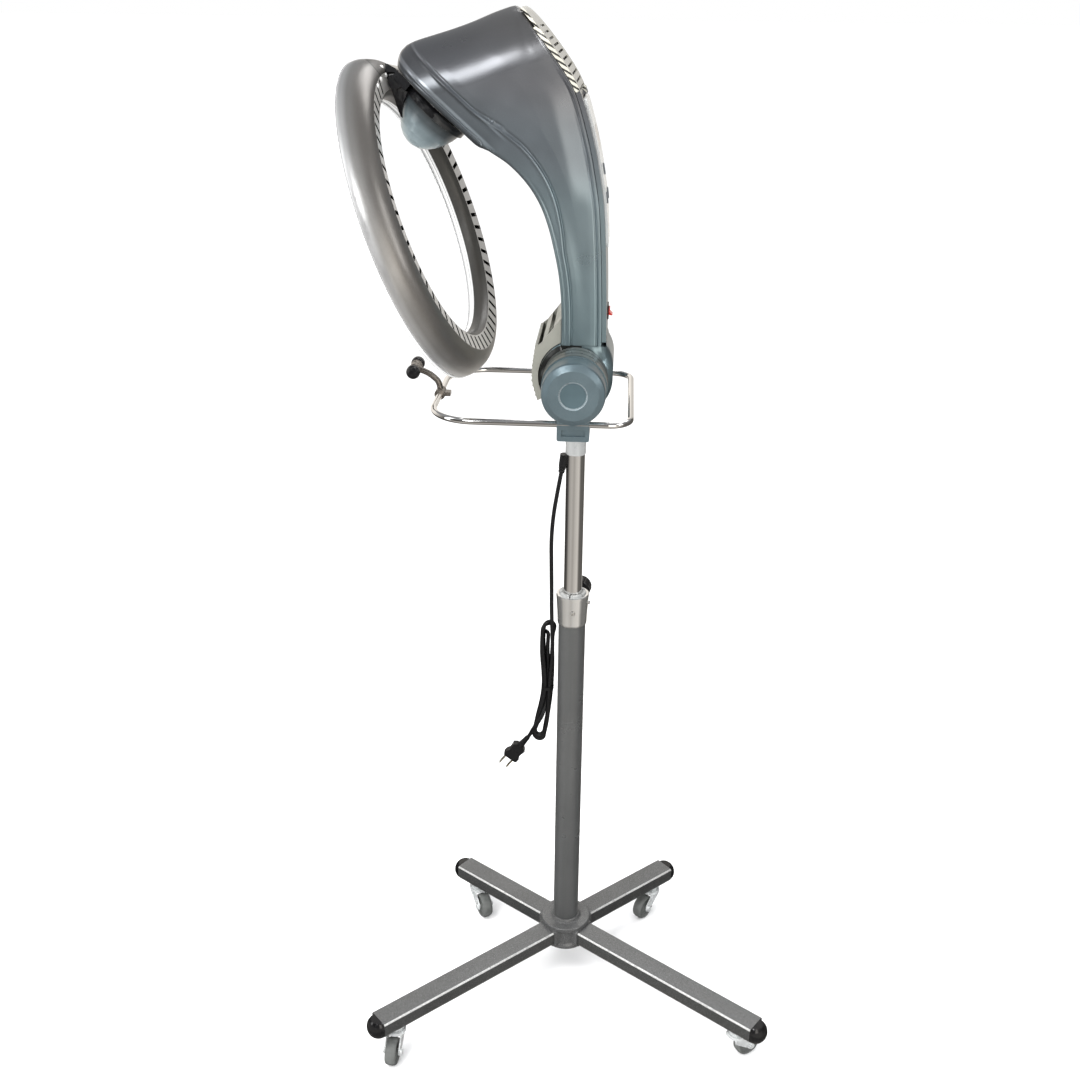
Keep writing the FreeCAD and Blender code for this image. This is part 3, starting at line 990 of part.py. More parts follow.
# where the moving pieces turn or travel
for i, (yy, z) in enumerate(BTN):
    p, d = rear_at(z)
    up = V(-d.x, 0, -d.z)
    n = V(0, 1, 0).cross(up)
    print("pivot panel_button_%d" % (i + 1), (p.x, yy, p.z), "outward", (n.x, n.y, n.z))
p, d = rear_at(1047.5)
print("pivot power_switch", (p.x, 0, p.z))
print("pivot rotor", tuple(AX), tuple(U))
print("pivot knob", tuple(kc), tuple(kd))
for key, (az, ln, stem, nm) in LEGS.items():
    a, t = D(az), D(TRAIL_DIR[key])
    print("pivot castor", key, (stem * math.cos(a), stem * math.sin(a)), "wheel", (stem * math.cos(a) + TRAIL * math.cos(t), stem * math.sin(a) + TRAIL * math.sin(t)),
          "axle", (-math.sin(t), math.cos(t)))
print("ring centre", tuple(RC), "front normal", tuple(NF), "x", tuple(PX))
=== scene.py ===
import json
import math

import bpy
import bmesh
import numpy as np
from mathutils import Matrix, Vector


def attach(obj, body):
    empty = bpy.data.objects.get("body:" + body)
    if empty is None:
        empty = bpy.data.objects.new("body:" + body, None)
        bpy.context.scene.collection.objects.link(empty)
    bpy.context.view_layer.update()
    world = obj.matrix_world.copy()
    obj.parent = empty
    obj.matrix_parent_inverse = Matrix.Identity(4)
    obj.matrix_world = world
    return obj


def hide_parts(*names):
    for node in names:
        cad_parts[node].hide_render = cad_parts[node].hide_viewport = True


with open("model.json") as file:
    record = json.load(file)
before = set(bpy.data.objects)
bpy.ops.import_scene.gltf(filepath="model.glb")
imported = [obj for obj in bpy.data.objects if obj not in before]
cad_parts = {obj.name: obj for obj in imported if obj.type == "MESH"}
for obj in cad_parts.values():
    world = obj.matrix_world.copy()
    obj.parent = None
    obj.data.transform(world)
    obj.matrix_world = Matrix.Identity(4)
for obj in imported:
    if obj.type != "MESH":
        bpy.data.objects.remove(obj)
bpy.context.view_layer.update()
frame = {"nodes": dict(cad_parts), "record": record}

N = frame["nodes"]
MM = 0.001
scene = bpy.context.scene
scene.view_settings.view_transform = "Standard"
scene.view_settings.look = "None"


def D(a):
    return math.radians(a)


# ---------------------------------------------------------------------------
# camera, at the photograph's place
# ---------------------------------------------------------------------------
CAM_POS = Vector((0.0532, -1.5827, 1.4231))
CAM_FWD = Vector((-0.0575, 0.9139, -0.4020)).normalized()
CAM_ROLL = 0.589
cam_data = bpy.data.cameras.new("camera")
cam_data.sensor_width = 36.0
cam_data.sensor_fit = "AUTO"
cam_data.lens = 42.08
cam_data.clip_start, cam_data.clip_end = 0.05, 200.0
cam = bpy.data.objects.new("camera", cam_data)
scene.collection.objects.link(cam)
right = CAM_FWD.cross(Vector((0, 0, 1))).normalized()
up = right.cross(CAM_FWD).normalized()
cr, sr = math.cos(D(CAM_ROLL)), math.sin(D(CAM_ROLL))
right2 = right * cr + up * sr
up2 = up * cr - right * sr
back = -CAM_FWD
cam.matrix_world = Matrix(((right2.x, up2.x, back.x, CAM_POS.x), (right2.y, up2.y, back.y, CAM_POS.y), (right2.z, up2.z, back.z, CAM_POS.z), (0, 0, 0, 1)))
scene.camera = cam


# ---------------------------------------------------------------------------
# mains cord: drop, hank and tail are one line
# ---------------------------------------------------------------------------
CORD_D = 5.6
CORD_OUT = [(-18.6, -3.0, 828.0), (-23.8, -2.4, 797.0), (-28.8, -0.8, 762.0), (-31.0, 1.2, 727.0), (-30.4, 3.0, 690.0), (-29.6, 4.0, 650.0)]
HANK_C = [(607, -31.0, 4.2), (595, -33.4, 4.0), (574, -34.6, 4.0), (545, -34.0, 4.0), (520, -33.4, 4.2), (494, -33.4, 4.5), (466, -36.2, 5.0), (440, -40.4, 5.2),
          (420, -43.4, 5.2), (403, -45.4, 5.0)]


def hank_centre(z):
    zs = [h[0] for h in HANK_C][::-1]
    return np.interp(z, zs, [h[1] for h in HANK_C][::-1]), np.interp(z, zs, [h[2] for h in HANK_C][::-1])


def strand(z, tie, end, wob=0.0, ph=0.0):
    """a point of one strand of the hank: tie and end are its offsets at the tie and where the hank opens"""
    w = min(1.0, abs(z - 494.0) / 62.0)
    w = w * w * (3 - 2 * w)
    cx, cy = hank_centre(z)
    return (cx + tie[0] * (1 - w) + end[0] * w + wob * w * math.sin(z / 17.0 + ph), cy + tie[1] * (1 - w) + end[1] * w + 0.5 * wob * w * math.cos(z / 23.0 + ph), z)


def fold(z, xa, ya, xb, yb, sgn, lean=0.0):
    """points round the end of a turn, from one strand to the next; z is its tip"""
    R = 0.5 * abs(xb - xa) + 0.6
    out = []
    for k in range(7):
        t = k / 6
        a = math.pi * t
        cx, cy = hank_centre(z)
        x = (xa + xb) / 2 + (xa - xb) / 2 * 1.08 * math.cos(a) + lean * math.sin(a)
        out.append((cx + x, cy + ya + (yb - ya) * (t * t * (3 - 2 * t)), z - sgn * R * 1.12 * (1 - math.sin(a)) + sgn * 0.6 * math.sin(a)))
    return out


# strands: place in the tied bundle, and place where the hank opens out
SA, EA = (2.9, -5.0), (6.9, -5.4)
SB, EB = (-2.9, -5.0), (-6.6, -5.2)
SC, EC = (5.8, 0.0), (7.6, 0.4)
SD, ED = (-5.8, 0.0), (-7.8, 0.2)
SE, EE = (2.9, 5.0), (6.4, 5.8)
SF, EF = (-2.9, 5.0), (-6.2, 5.9)
SG, EG = (0.0, 0.0), (0.4, 0.0)
route = list(CORD_OUT)
route += [(-29.2, 0.6, 626.0), (-28.4, -3.6, 606.0), (-27.4, -3.6, 588.0)]
route += [strand(z, SA, EA, 0.9, 0.3) for z in (566, 541, 516, 494, 470, 448, 434)]
route += fold(413.0, EA[0] + 0.4, EA[1], EB[0] - 0.8, EB[1], -1, 0.8)
route += [strand(z, SB, EB, 0.8, 1.7) for z in (432, 449, 472, 494, 517, 542, 567, 584)]
route += fold(600.5, EB[0], EB[1], EC[0], EC[1], 1, -0.5)
route += [strand(z, SC, EC, 0.7, 2.9) for z in (580, 562, 538, 515, 494, 468, 446, 429)]
route += fold(404.5, EC[0] - 0.4, EC[1], ED[0] + 0.4, ED[1], -1, 1.2)
route += [strand(z, SD, ED, 0.8, 4.1) for z in (429, 449, 470, 494, 518, 544, 564, 576)]
route += fold(595.0, ED[0], ED[1], EE[0], EE[1], 1, 0.6)
route += [strand(z, SE, EE, 0.7, 5.2) for z in (575, 559, 540, 516, 494, 471, 450, 433)]
route += fold(409.0, EE[0], EE[1], EF[0], EF[1], -1, -0.6)
route += [strand(z, SF, EF, 0.7, 0.9) for z in (432, 450, 471, 494, 516, 539, 555, 567)]
route += fold(582.5, EF[0] + 0.4, EF[1], 0.6, 0.2, 1, 0.0)
route += [strand(z, SG, EG, 0.3, 2.2) for z in (562, 544, 519, 494, 478)]
route += [(-36.6, 2.6, 465.0), (-38.2, -3.4, 456.0), (-41.6, -6.9, 447.5), (-46.6, -6.8, 438.5), (-51.6, -3.4, 429.5), (-55.4, 1.2, 420.0), (-58.4, 3.9, 411.2), (-61.6, 4.4, 406.5)]


def nurbs(name, pts, d):
    cu = bpy.data.curves.new(name, "CURVE")
    cu.dimensions = "3D"
    sp = cu.splines.new("NURBS")
    sp.points.add(len(pts) - 1)
    for p, q in zip(sp.points, pts):
        p.co = (q[0] * MM, q[1] * MM, q[2] * MM, 1.0)
    sp.order_u = 3
    sp.use_endpoint_u = True
    sp.resolution_u = 10
    cu.bevel_depth = d / 2 * MM
    cu.bevel_resolution = 7
    cu.use_fill_caps = True
    o = bpy.data.objects.new(name, cu)
    scene.collection.objects.link(o)
    return o


mains_cord = nurbs("mains_cord", route, CORD_D)


def spline_line(pts):
    """the smooth line that the curve draws, as points in millimetres"""
    cu = nurbs("probe_line", pts, CORD_D)
    cu.data.bevel_depth = 0.0
    dg = bpy.context.evaluated_depsgraph_get()
    bpy.context.view_layer.update()
    me = bpy.data.meshes.new_from_object(cu.evaluated_get(dg))
    out = np.array([v.co for v in me.vertices]) / MM
    bpy.data.objects.remove(cu)
    bpy.data.meshes.remove(me)
    return out


cord_line = spline_line(route)


# ---------------------------------------------------------------------------
# node helpers for materials
# ---------------------------------------------------------------------------
class Mat:
    """a principled surface with procedural detail, in the object's own coordinates"""

    def __init__(self, name, base, rough=0.4, metallic=0.0, coat=0.0, coat_rough=0.08, ior=1.5, spec=0.5, trans=0.0, sheen=0.0):
        self.m = bpy.data.materials.new(name)
        self.m.use_nodes = True
        self.t = self.m.node_tree
        self.t.nodes.clear()
        self.out = self.t.nodes.new("ShaderNodeOutputMaterial")
        self.b = self.t.nodes.new("ShaderNodeBsdfPrincipled")
        self.t.links.new(self.b.outputs[0], self.out.inputs[0])
        self.base = base
        self.rough = rough
        b = self.b.inputs
        b["Base Color"].default_value = (*base, 1.0)
        b["Roughness"].default_value = rough
        b["Metallic"].default_value = metallic
        b["Coat Weight"].default_value = coat
        b["Coat Roughness"].default_value = coat_rough
        b["IOR"].default_value = ior
        b["Specular IOR Level"].default_value = spec
        b["Transmission Weight"].default_value = trans
        b["Sheen Weight"].default_value = sheen
        self.tc = self.t.nodes.new("ShaderNodeTexCoord")
        self.colour = None
        self.normal = None
        self.m.diffuse_color = (*base, 1.0)

    def node(self, kind, **kw):
        n = self.t.nodes.new(kind)
        for k, v in kw.items():
            setattr(n, k, v)
        return n

    def link(self, a, b):
        self.t.links.new(a, b)

    def noise(self, scale, detail=3.0, rough=0.55, stretch=None, distort=0.0):
        n = self.node("ShaderNodeTexNoise")
        n.inputs["Scale"].default_value = scale
        n.inputs["Detail"].default_value = detail
        n.inputs["Roughness"].default_value = rough
        n.inputs["Distortion"].default_value = distort
        src = self.tc.outputs["Object"]
        if stretch:
            mp = self.node("ShaderNodeMapping")
            mp.inputs["Scale"].default_value = stretch
            self.link(src, mp.inputs["Vector"])
            src = mp.outputs["Vector"]
        self.link(src, n.inputs["Vector"])
        return n.outputs["Fac"]

    def ramp(self, fac, stops, interp="LINEAR"):
        r = self.node("ShaderNodeValToRGB")
        r.color_ramp.interpolation = interp
        e = r.color_ramp.elements
        while len(e) < len(stops):
            e.new(0.5)
        for k, (p, c) in zip(e, stops):
            k.position = p
            k.color = c if len(c) == 4 else (*c, 1.0)
        self.link(fac, r.inputs["Fac"])
        return r.outputs["Color"]

    def mapr(self, fac, a, b, lo=0.0, hi=1.0):
        n = self.node("ShaderNodeMapRange")
        n.inputs["From Min"].default_value = lo
        n.inputs["From Max"].default_value = hi
        n.inputs["To Min"].default_value = a
        n.inputs["To Max"].default_value = b
        self.link(fac, n.inputs["Value"])
        return n.outputs["Result"]

    def coord(self, axis):
        """position along a direction, in metres"""
        n = self.node("ShaderNodeVectorMath", operation="DOT_PRODUCT")
        n.inputs[1].default_value = axis
        self.link(self.tc.outputs["Object"], n.inputs[0])
        return n.outputs["Value"]

    def mix(self, fac, a, b, mode="MIX"):
        n = self.node("ShaderNodeMix", data_type="RGBA", blend_type=mode)
        if isinstance(fac, float):
            n.inputs["Factor"].default_value = fac
        else:
            self.link(fac, n.inputs["Factor"])
        for sock, v in ((n.inputs[6], a), (n.inputs[7], b)):
            if isinstance(v, tuple):
                sock.default_value = (*v, 1.0)
            else:
                self.link(v, sock)
        return n.outputs[2]

    def zones(self, axis, stops):
        """colour that changes along a direction: stops are (metres, colour)"""
        lo, hi = stops[0][0], stops[-1][0]
        f = self.mapr(self.coord(axis), 0.0, 1.0, lo, hi)
        self.colour = self.ramp(f, [((p - lo) / (hi - lo), c) for p, c in stops], "EASE")
        return self

    def shade(self, axis, stops, only=None):
        """colour times a tone that changes along a direction, for painted shade (tone below 1) and painted highlight
        (tone above 1): stops are (metres, tone); only = (axis, full, none) limits it
        """
        lo, hi = stops[0][0], stops[-1][0]
        f = self.mapr(self.coord(axis), 0.0, 1.0, lo, hi)
        tone = self.ramp(f, [((p - lo) / (hi - lo), (c, c, c)) for p, c in stops])
        k = 1.0 if only is None else self.mapr(self.coord(only[0]), 1.0, 0.0, only[1], only[2])
        self.colour = self.mix(k, self.colour if self.colour is not None else self.base, tone, "MULTIPLY")
        return self

    def vary(self, scale, amount, detail=3.0, stretch=None):
        """light and dark drift of the colour"""
        f = self.noise(scale, detail, stretch=stretch)
        src = self.colour if self.colour is not None else self.base
        a, b = 1.0 - amount, 1.0 + amount
        dark = self.ramp(f, [(0.3, (a, a, a)), (0.7, (min(b, 2.0),) * 3)])
        self.colour = self.mix(1.0, src, dark, "MULTIPLY")
        return self

    def fleck(self, scale, colour, amount=0.5, lo=0.62, hi=0.72):
        """small bright or dark flecks"""
        f = self.noise(scale, 1.0)
        k = self.mapr(f, 0.0, amount, lo, hi)
        src = self.colour if self.colour is not None else self.base
        self.colour = self.mix(k, src, colour)
        return self

    def rough_vary(self, scale, amount, detail=4.0, stretch=None):
        f = self.noise(scale, detail, stretch=stretch)
        r = self.mapr(f, max(0.02, self.rough - amount), self.rough + amount, 0.3, 0.7)
        self.link(r, self.b.inputs["Roughness"])
        return self

    def bump(self, scale, dist, strength=1.0, detail=2.0, stretch=None, kind="noise"):
        if kind == "noise":
            f = self.noise(scale, detail, stretch=stretch)
        else:
            v = self.node("ShaderNodeTexVoronoi")
            v.inputs["Scale"].default_value = scale
            self.link(self.tc.outputs["Object"], v.inputs["Vector"])
            f = v.outputs["Distance"]
        n = self.node("ShaderNodeBump")
        n.inputs["Distance"].default_value = dist
        n.inputs["Strength"].default_value = strength
        self.link(f, n.inputs["Height"])
        if self.normal is not None:
            self.link(self.normal, n.inputs["Normal"])
        self.normal = n.outputs["Normal"]
        return self

    def done(self):
        if self.colour is not None:
            self.link(self.colour, self.b.inputs["Base Color"])
        if self.normal is not None:
            self.link(self.normal, self.b.inputs["Normal"])
        return self.m


M = {}
# powder coat of the base: dark grey, slightly hammered, with a metallic fleck
M["base_paint"] = Mat("base_paint", (0.088, 0.089, 0.089), rough=0.36, metallic=0.35, coat=0.25, coat_rough=0.22).vary(14, 0.08).vary(600, 0.22, 1.0).fleck(1100, (0.42, 0.42, 0.41), 0.38, 0.58, 0.70).rough_vary(60, 0.06).bump(900, 0.00010, 0.7, 2.0).done()
M["tube_paint"] = Mat("tube_paint", (0.098, 0.100, 0.099), rough=0.30, metallic=0.45, coat=0.3, coat_rough=0.16).vary(14, 0.06).vary(90, 0.07, 2.0, (1, 1, 0.05)).fleck(900, (0.22, 0.22, 0.22), 0.14, 0.56, 0.72).rough_vary(30, 0.04).bump(700, 0.00003, 0.2, 2.0).done()
# the flanks of the legs, painted darker as painted shade, and their rounded edges, painted bright as a painted
# highlight
M["base_side_painted_shade"] = Mat("base_side_painted_shade", (0.050, 0.051, 0.050), rough=0.34, metallic=0.35, coat=0.25, coat_rough=0.22).vary(14, 0.10).vary(700, 0.35, 1.0).fleck(1100, (0.24, 0.24, 0.23), 0.5, 0.60, 0.72).rough_vary(60, 0.06).bump(900, 0.00010, 0.7, 2.0).done()
M["base_edge_painted_highlight"] = Mat("base_edge_painted_highlight", (0.52, 0.52, 0.51), rough=0.30, metallic=0.4, coat=0.25, coat_rough=0.18).vary(30, 0.12).vary(700, 0.3, 1.0).rough_vary(60, 0.06).bump(900, 0.00008, 0.7, 2.0).done()
M["end_cap"] = Mat("end_cap", (0.004, 0.004, 0.0045), rough=0.14, coat=0.3, coat_rough=0.05, spec=0.4).vary(40, 0.15).rough_vary(70, 0.07).bump(260, 0.00005, 0.4).done()
M["castor_zinc"] = Mat("castor_zinc", (0.74, 0.76, 0.76), rough=0.24, metallic=0.45, coat=0.4, coat_rough=0.08).vary(120, 0.16).rough_vary(160, 0.1, stretch=(1, 1, 0.2)).bump(300, 0.00005, 0.6).done()
M["castor_grey"] = Mat("castor_grey", (0.105, 0.110, 0.105), rough=0.5).vary(90, 0.18).rough_vary(140, 0.12).bump(700, 0.0001, 0.6).done()
M["chrome"] = Mat("chrome", (0.86, 0.85, 0.84), rough=0.06, metallic=1.0).rough_vary(35, 0.035).vary(9, 0.03).bump(60, 0.00002, 0.35, 3.0).done()
M["collar_chrome"] = Mat("collar_chrome", (0.88, 0.88, 0.87), rough=0.12, metallic=0.95).rough_vary(35, 0.05).vary(9, 0.05).bump(60, 0.00003, 0.4, 3.0).done()
M["screw_steel"] = Mat("screw_steel", (0.66, 0.65, 0.63), rough=0.28, metallic=1.0).vary(200, 0.12).rough_vary(260, 0.1).bump(900, 0.00004, 0.5).done()
M["bright_screw"] = Mat("bright_screw", (0.92, 0.92, 0.90), rough=0.25, metallic=0.2, coat=0.3).vary(200, 0.08).rough_vary(260, 0.1).bump(900, 0.00004, 0.5).done()
M["bush_plastic"] = Mat("bush_plastic", (0.30, 0.305, 0.30), rough=0.30, spec=0.5, coat=0.2).vary(60, 0.14, stretch=(1, 1, 0.1)).rough_vary(90, 0.1).bump(500, 0.00005, 0.5).done()
M["black_plastic"] = Mat("black_plastic", (0.005, 0.005, 0.0055), rough=0.30, spec=0.3).vary(60, 0.2).rough_vary(120, 0.12).bump(900, 0.00006, 0.6).done()
M["stem_metal"] = Mat("stem_metal", (0.20, 0.18, 0.16), rough=0.28, metallic=0.9).vary(60, 0.12).rough_vary(90, 0.1, stretch=(1, 1, 0.3)).bump(700, 0.00004, 0.5).done()
# arm and head: metallic moulding with painted light and shade in its colour: a painted gradient by height, warm
# silver on top, darker slate in the middle of the head, blue-grey down the arm
arm = Mat("arm_plastic", (0.27, 0.31, 0.34), rough=0.30, metallic=0.85, coat=0.25, coat_rough=0.16)
arm.zones((0.18, 0.0, 0.98), [(1.02, (0.178, 0.240, 0.262)), (1.15, (0.188, 0.236, 0.256)), (1.22, (0.142, 0.163, 0.180)), (1.29, (0.130, 0.134, 0.144)), (1.36, (0.17, 0.169, 0.17))])
# painted shade and painted highlight over the lip only: a darker band along the mouth, with painted highlight lines
# at the crease and at the rim
arm.shade((-0.6613119, 0.0, -0.7501111), [(-0.900, 1.0), (-0.8892, 1.0), (-0.8880, 1.45), (-0.8866, 1.45), (-0.8852, 0.65), (-0.880, 0.85), (-0.8718, 0.78), (-0.8702, 1.75), (-0.8668, 1.75), (-0.8650, 0.60), (-0.855, 0.42)], ((0.7501111, 0.0, -0.6613119), -0.915, -0.895))
M["arm_plastic"] = arm.vary(5, 0.05).fleck(1500, (0.50, 0.52, 0.53), 0.05, 0.58, 0.74).rough_vary(26, 0.03).bump(900, 0.00002, 0.08).done()
M["joint_plastic"] = Mat("joint_plastic", (0.115, 0.160, 0.180), rough=0.36, metallic=0.70, coat=0.35, coat_rough=0.18).vary(12, 0.06).fleck(2600, (0.4, 0.43, 0.45), 0.35, 0.60, 0.74).rough_vary(40, 0.06).bump(1500, 0.00003, 0.35).done()
M["cap_disc"] = Mat("cap_disc", (0.082, 0.125, 0.142), rough=0.40, metallic=0.6, coat=0.2, coat_rough=0.2).vary(30, 0.08).rough_vary(60, 0.06).bump(1500, 0.00003, 0.35).done()
# painted highlight: the groove round the centre disc of the hinge caps is painted light
M["cap_ring_painted_highlight"] = Mat("cap_ring_painted_highlight", (0.30, 0.35, 0.37), rough=0.30, metallic=0.4, coat=0.3).vary(60, 0.12).rough_vary(60, 0.06).done()
drum = Mat("drum", (0.07, 0.075, 0.07), rough=0.33, metallic=0.5, coat=0.3, coat_rough=0.15)
dw = drum.node("ShaderNodeTexWave", wave_type="BANDS", bands_direction="Y", wave_profile="SIN")
drum.link(drum.tc.outputs["Object"], dw.inputs["Vector"])
dw.inputs["Scale"].default_value = 23.0
drum.colour = drum.ramp(dw.outputs["Fac"], [(0.05, (0.010, 0.011, 0.010)), (0.16, (0.085, 0.092, 0.088)), (0.8, (0.115, 0.125, 0.12))])
M["drum"] = drum.vary(20, 0.12).rough_vary(50, 0.08).done()
M["rear_plastic"] = Mat("rear_plastic", (0.36, 0.35, 0.315), rough=0.40, coat=0.2, coat_rough=0.2).vary(9, 0.05).rough_vary(40, 0.08).bump(1300, 0.00004, 0.4).done()
# grille slats painted on the rear cover's side faces: the dark stripes are painted shade standing for slot openings
# that these faces do not have
slat = Mat("slat_edge_painted_slot_shade", (0.50, 0.48, 0.40), rough=0.38, coat=0.2)
sw = slat.node("ShaderNodeTexWave", wave_type="BANDS", bands_direction="X", wave_profile="SIN")
mp = slat.node("ShaderNodeMapping")
mp.inputs["Rotation"].default_value = (0.0, D(62), 0.0)
slat.link(slat.tc.outputs["Object"], mp.inputs["Vector"])
slat.link(mp.outputs["Vector"], sw.inputs["Vector"])
sw.inputs["Scale"].default_value = 62.0
slat.colour = slat.ramp(sw.outputs["Fac"], [(0.22, (0.012, 0.012, 0.011)), (0.42, (0.30, 0.285, 0.235)), (0.75, (0.42, 0.405, 0.345))])
M["slat_edge_painted_slot_shade"] = slat.vary(40, 0.08).rough_vary(60, 0.08).done()
M["guard_plastic"] = Mat("guard_plastic", (0.235, 0.235, 0.205), rough=0.42, metallic=0.2).vary(14, 0.10).rough_vary(60, 0.1).bump(900, 0.00008, 0.5).done()
M["panel_face"] = Mat("panel_face", (0.58, 0.59, 0.58), rough=0.25, coat=0.3).vary(11, 0.04).rough_vary(50, 0.08).bump(900, 0.00003, 0.3).done()
M["display_glass"] = Mat("display_glass", (0.010, 0.012, 0.015), rough=0.06, coat=0.6, coat_rough=0.03).vary(60, 0.2).rough_vary(60, 0.04).done()
M["button_face"] = Mat("button_face", (0.10, 0.11, 0.12), rough=0.5).vary(120, 0.12).rough_vary(200, 0.1).bump(1200, 0.00006, 0.5).done()
M["switch_red"] = Mat("switch_red", (0.60, 0.020, 0.012), rough=0.2, coat=0.4, coat_rough=0.08).vary(90, 0.1).rough_vary(120, 0.08).done()
M["bronze"] = Mat("bronze", (0.45, 0.29, 0.14), rough=0.4, metallic=1.0).vary(120, 0.15).rough_vary(160, 0.12).bump(1500, 0.00008, 0.5).done()
M["board"] = Mat("board", (0.02, 0.10, 0.045), rough=0.45).vary(160, 0.25).rough_vary(160, 0.1).done()
M["drive_metal"] = Mat("drive_metal", (0.48, 0.48, 0.48), rough=0.35, metallic=1.0).vary(90, 0.12).rough_vary(120, 0.12).done()
cupm = Mat("cup_plastic", (0.22, 0.27, 0.29), rough=0.34, metallic=0.25, coat=0.45, coat_rough=0.14)
ROT_A, ROT_U = np.array([-0.1685245, 0.0, 1.2938241]), np.array([-0.6613119, 0.0, -0.7501111])
u0 = float(ROT_A @ ROT_U)
# painted shadow: the cup is painted near black close to the head, where the head shades it, and lighter further out
# along the rotor axis
cupm.zones(tuple(ROT_U), [(u0 + 0.014, (0.012, 0.013, 0.014)), (u0 + 0.024, (0.045, 0.055, 0.06)), (u0 + 0.038, (0.15, 0.19, 0.205)), (u0 + 0.052, (0.27, 0.33, 0.35)), (u0 + 0.066, (0.36, 0.42, 0.44))])
M["cup_plastic"] = cupm.vary(14, 0.06).rough_vary(40, 0.06).bump(1200, 0.00003, 0.3).done()
RING_C = np.array([-0.19117124, -0.01324230, 1.15901281])
RING_N = np.array([-0.9321096, 0.0804263, -0.3531321])
RING_X = np.array([-0.3389256, 0.1500062, 0.9287775])
ringp = Mat("ring_paint", (0.215, 0.203, 0.188), rough=0.38, metallic=0.8, coat=0.25, coat_rough=0.28)
h0 = float(RING_C @ RING_N)
ringp.zones(tuple(RING_N), [(h0 - 0.030, (0.185, 0.172, 0.158)), (h0 - 0.010, (0.170, 0.160, 0.149)), (h0 + 0.001, (0.235, 0.23, 0.222)), (h0 + 0.009, (0.42, 0.42, 0.42)), (h0 + 0.0148, (0.60, 0.60, 0.60)), (h0 + 0.0152, (0.60, 0.60, 0.60))])
# mounting pad of the bracket: a darker round with a seam
pad_d = ringp.node("ShaderNodeVectorMath", operation="DISTANCE")
pad_s = ringp.node("ShaderNodeMapping")
pad_s.inputs["Scale"].default_value = (1.0, 0.5, 1.0)
pad_d.inputs[1].default_value = tuple((RING_C + RING_X * 0.178 - RING_N * 0.016) * np.array([1.0, 0.5, 1.0]))
ringp.link(ringp.tc.outputs["Object"], pad_s.inputs["Vector"])
ringp.link(pad_s.outputs["Vector"], pad_d.inputs[0])
pad_k = ringp.mapr(pad_d.outputs["Value"], 0.0, 1.0, 0.0, 0.035)
ringp.colour = ringp.mix(1.0, ringp.colour, ringp.ramp(pad_k, [(0.0, (0.52, 0.50, 0.48)), (0.70, (0.66, 0.64, 0.62)), (0.725, (0.16, 0.15, 0.14)), (0.755, (0.16, 0.15, 0.14)), (0.78, (1.0, 1.0, 1.0))]), "MULTIPLY")
M["ring_paint"] = ringp.vary(5, 0.08).fleck(2600, (0.55, 0.54, 0.53), 0.35, 0.60, 0.74).rough_vary(26, 0.05).bump(1500, 0.00003, 0.35).done()
M["ring_band"] = Mat("ring_band", (0.56, 0.545, 0.52), rough=0.40, metallic=0.35, coat=0.2, coat_rough=0.3).vary(7, 0.08).fleck(2600, (0.60, 0.59, 0.58), 0.35, 0.60, 0.74).rough_vary(30, 0.06).bump(1500, 0.00003, 0.35).done()
inner = Mat("ring_inner", (0.085, 0.080, 0.072), rough=0.42, metallic=0.3, coat=0.12, coat_rough=0.25)
h0 = float(RING_C @ RING_N)
inner.zones(tuple(RING_N), [(h0 - 0.020, (0.070, 0.066, 0.059)), (h0 - 0.010, (0.046, 0.043, 0.038)), (h0 - 0.0004, (0.040, 0.038, 0.034)), (h0, (0.006, 0.006, 0.006)), (h0 + 0.0006, (0.50, 0.50, 0.50)), (h0 + 0.0022, (0.80, 0.80, 0.79)), (h0 + 0.0034, (0.36, 0.36, 0.36)), (h0 + 0.0046, (0.82, 0.82, 0.81)), (h0 + 0.0062, (0.74, 0.74, 0.73)), (h0 + 0.0072, (0.42, 0.42, 0.42)), (h0 + 0.0084, (0.60, 0.60, 0.60))])
M["ring_inner"] = inner.vary(7, 0.10).rough_vary(30, 0.08).bump(1500, 0.00003, 0.35).done()
M["inside_black"] = Mat("inside_black", (0.004, 0.004, 0.004), rough=0.75, spec=0.1).vary(60, 0.3).rough_vary(60, 0.1).done()
M["reflector_white"] = Mat("reflector_white", (0.66, 0.66, 0.655), rough=0.22, coat=0.4, coat_rough=0.08).vary(12, 0.03).rough_vary(60, 0.07).bump(500, 0.00003, 0.3).done()
lamp = Mat("lamp_glass", (0.93, 0.93, 0.92), rough=0.08, trans=0.55, ior=1.46)
M["lamp_glass"] = lamp.vary(70, 0.04).rough_vary(90, 0.05).done()
M["socket_ceramic"] = Mat("socket_ceramic", (0.76, 0.75, 0.71), rough=0.45).vary(120, 0.06).rough_vary(160, 0.1).bump(1200, 0.00008, 0.5).done()
M["bracket_black"] = Mat("bracket_black", (0.005, 0.005, 0.0055), rough=0.16, coat=0.3, coat_rough=0.06, spec=0.4).vary(40, 0.15).rough_vary(50, 0.06).bump(300, 0.00004, 0.35).done()
M["cord_black"] = Mat("cord_black", (0.0045, 0.0045, 0.005), rough=0.34, spec=0.3).vary(80, 0.2).rough_vary(160, 0.12).bump(1400, 0.00008, 0.6).done()
M["blade_metal"] = Mat("blade_metal", (0.74, 0.70, 0.58), rough=0.22, metallic=1.0).vary(200, 0.08).rough_vary(260, 0.1).done()

SLOT = {s["node"]: s["material_slot"] for s in frame["record"]["subparts"]}
PAINT = dict(SLOT)
PAINT["pivot_block"] = PAINT["hinge_caps"] = "joint_plastic"
PAINT["column_collar"] = "collar_chrome"
PAINT["lower_tube"] = "tube_paint"
PAINT["ring_fixings"] = "bright_screw"


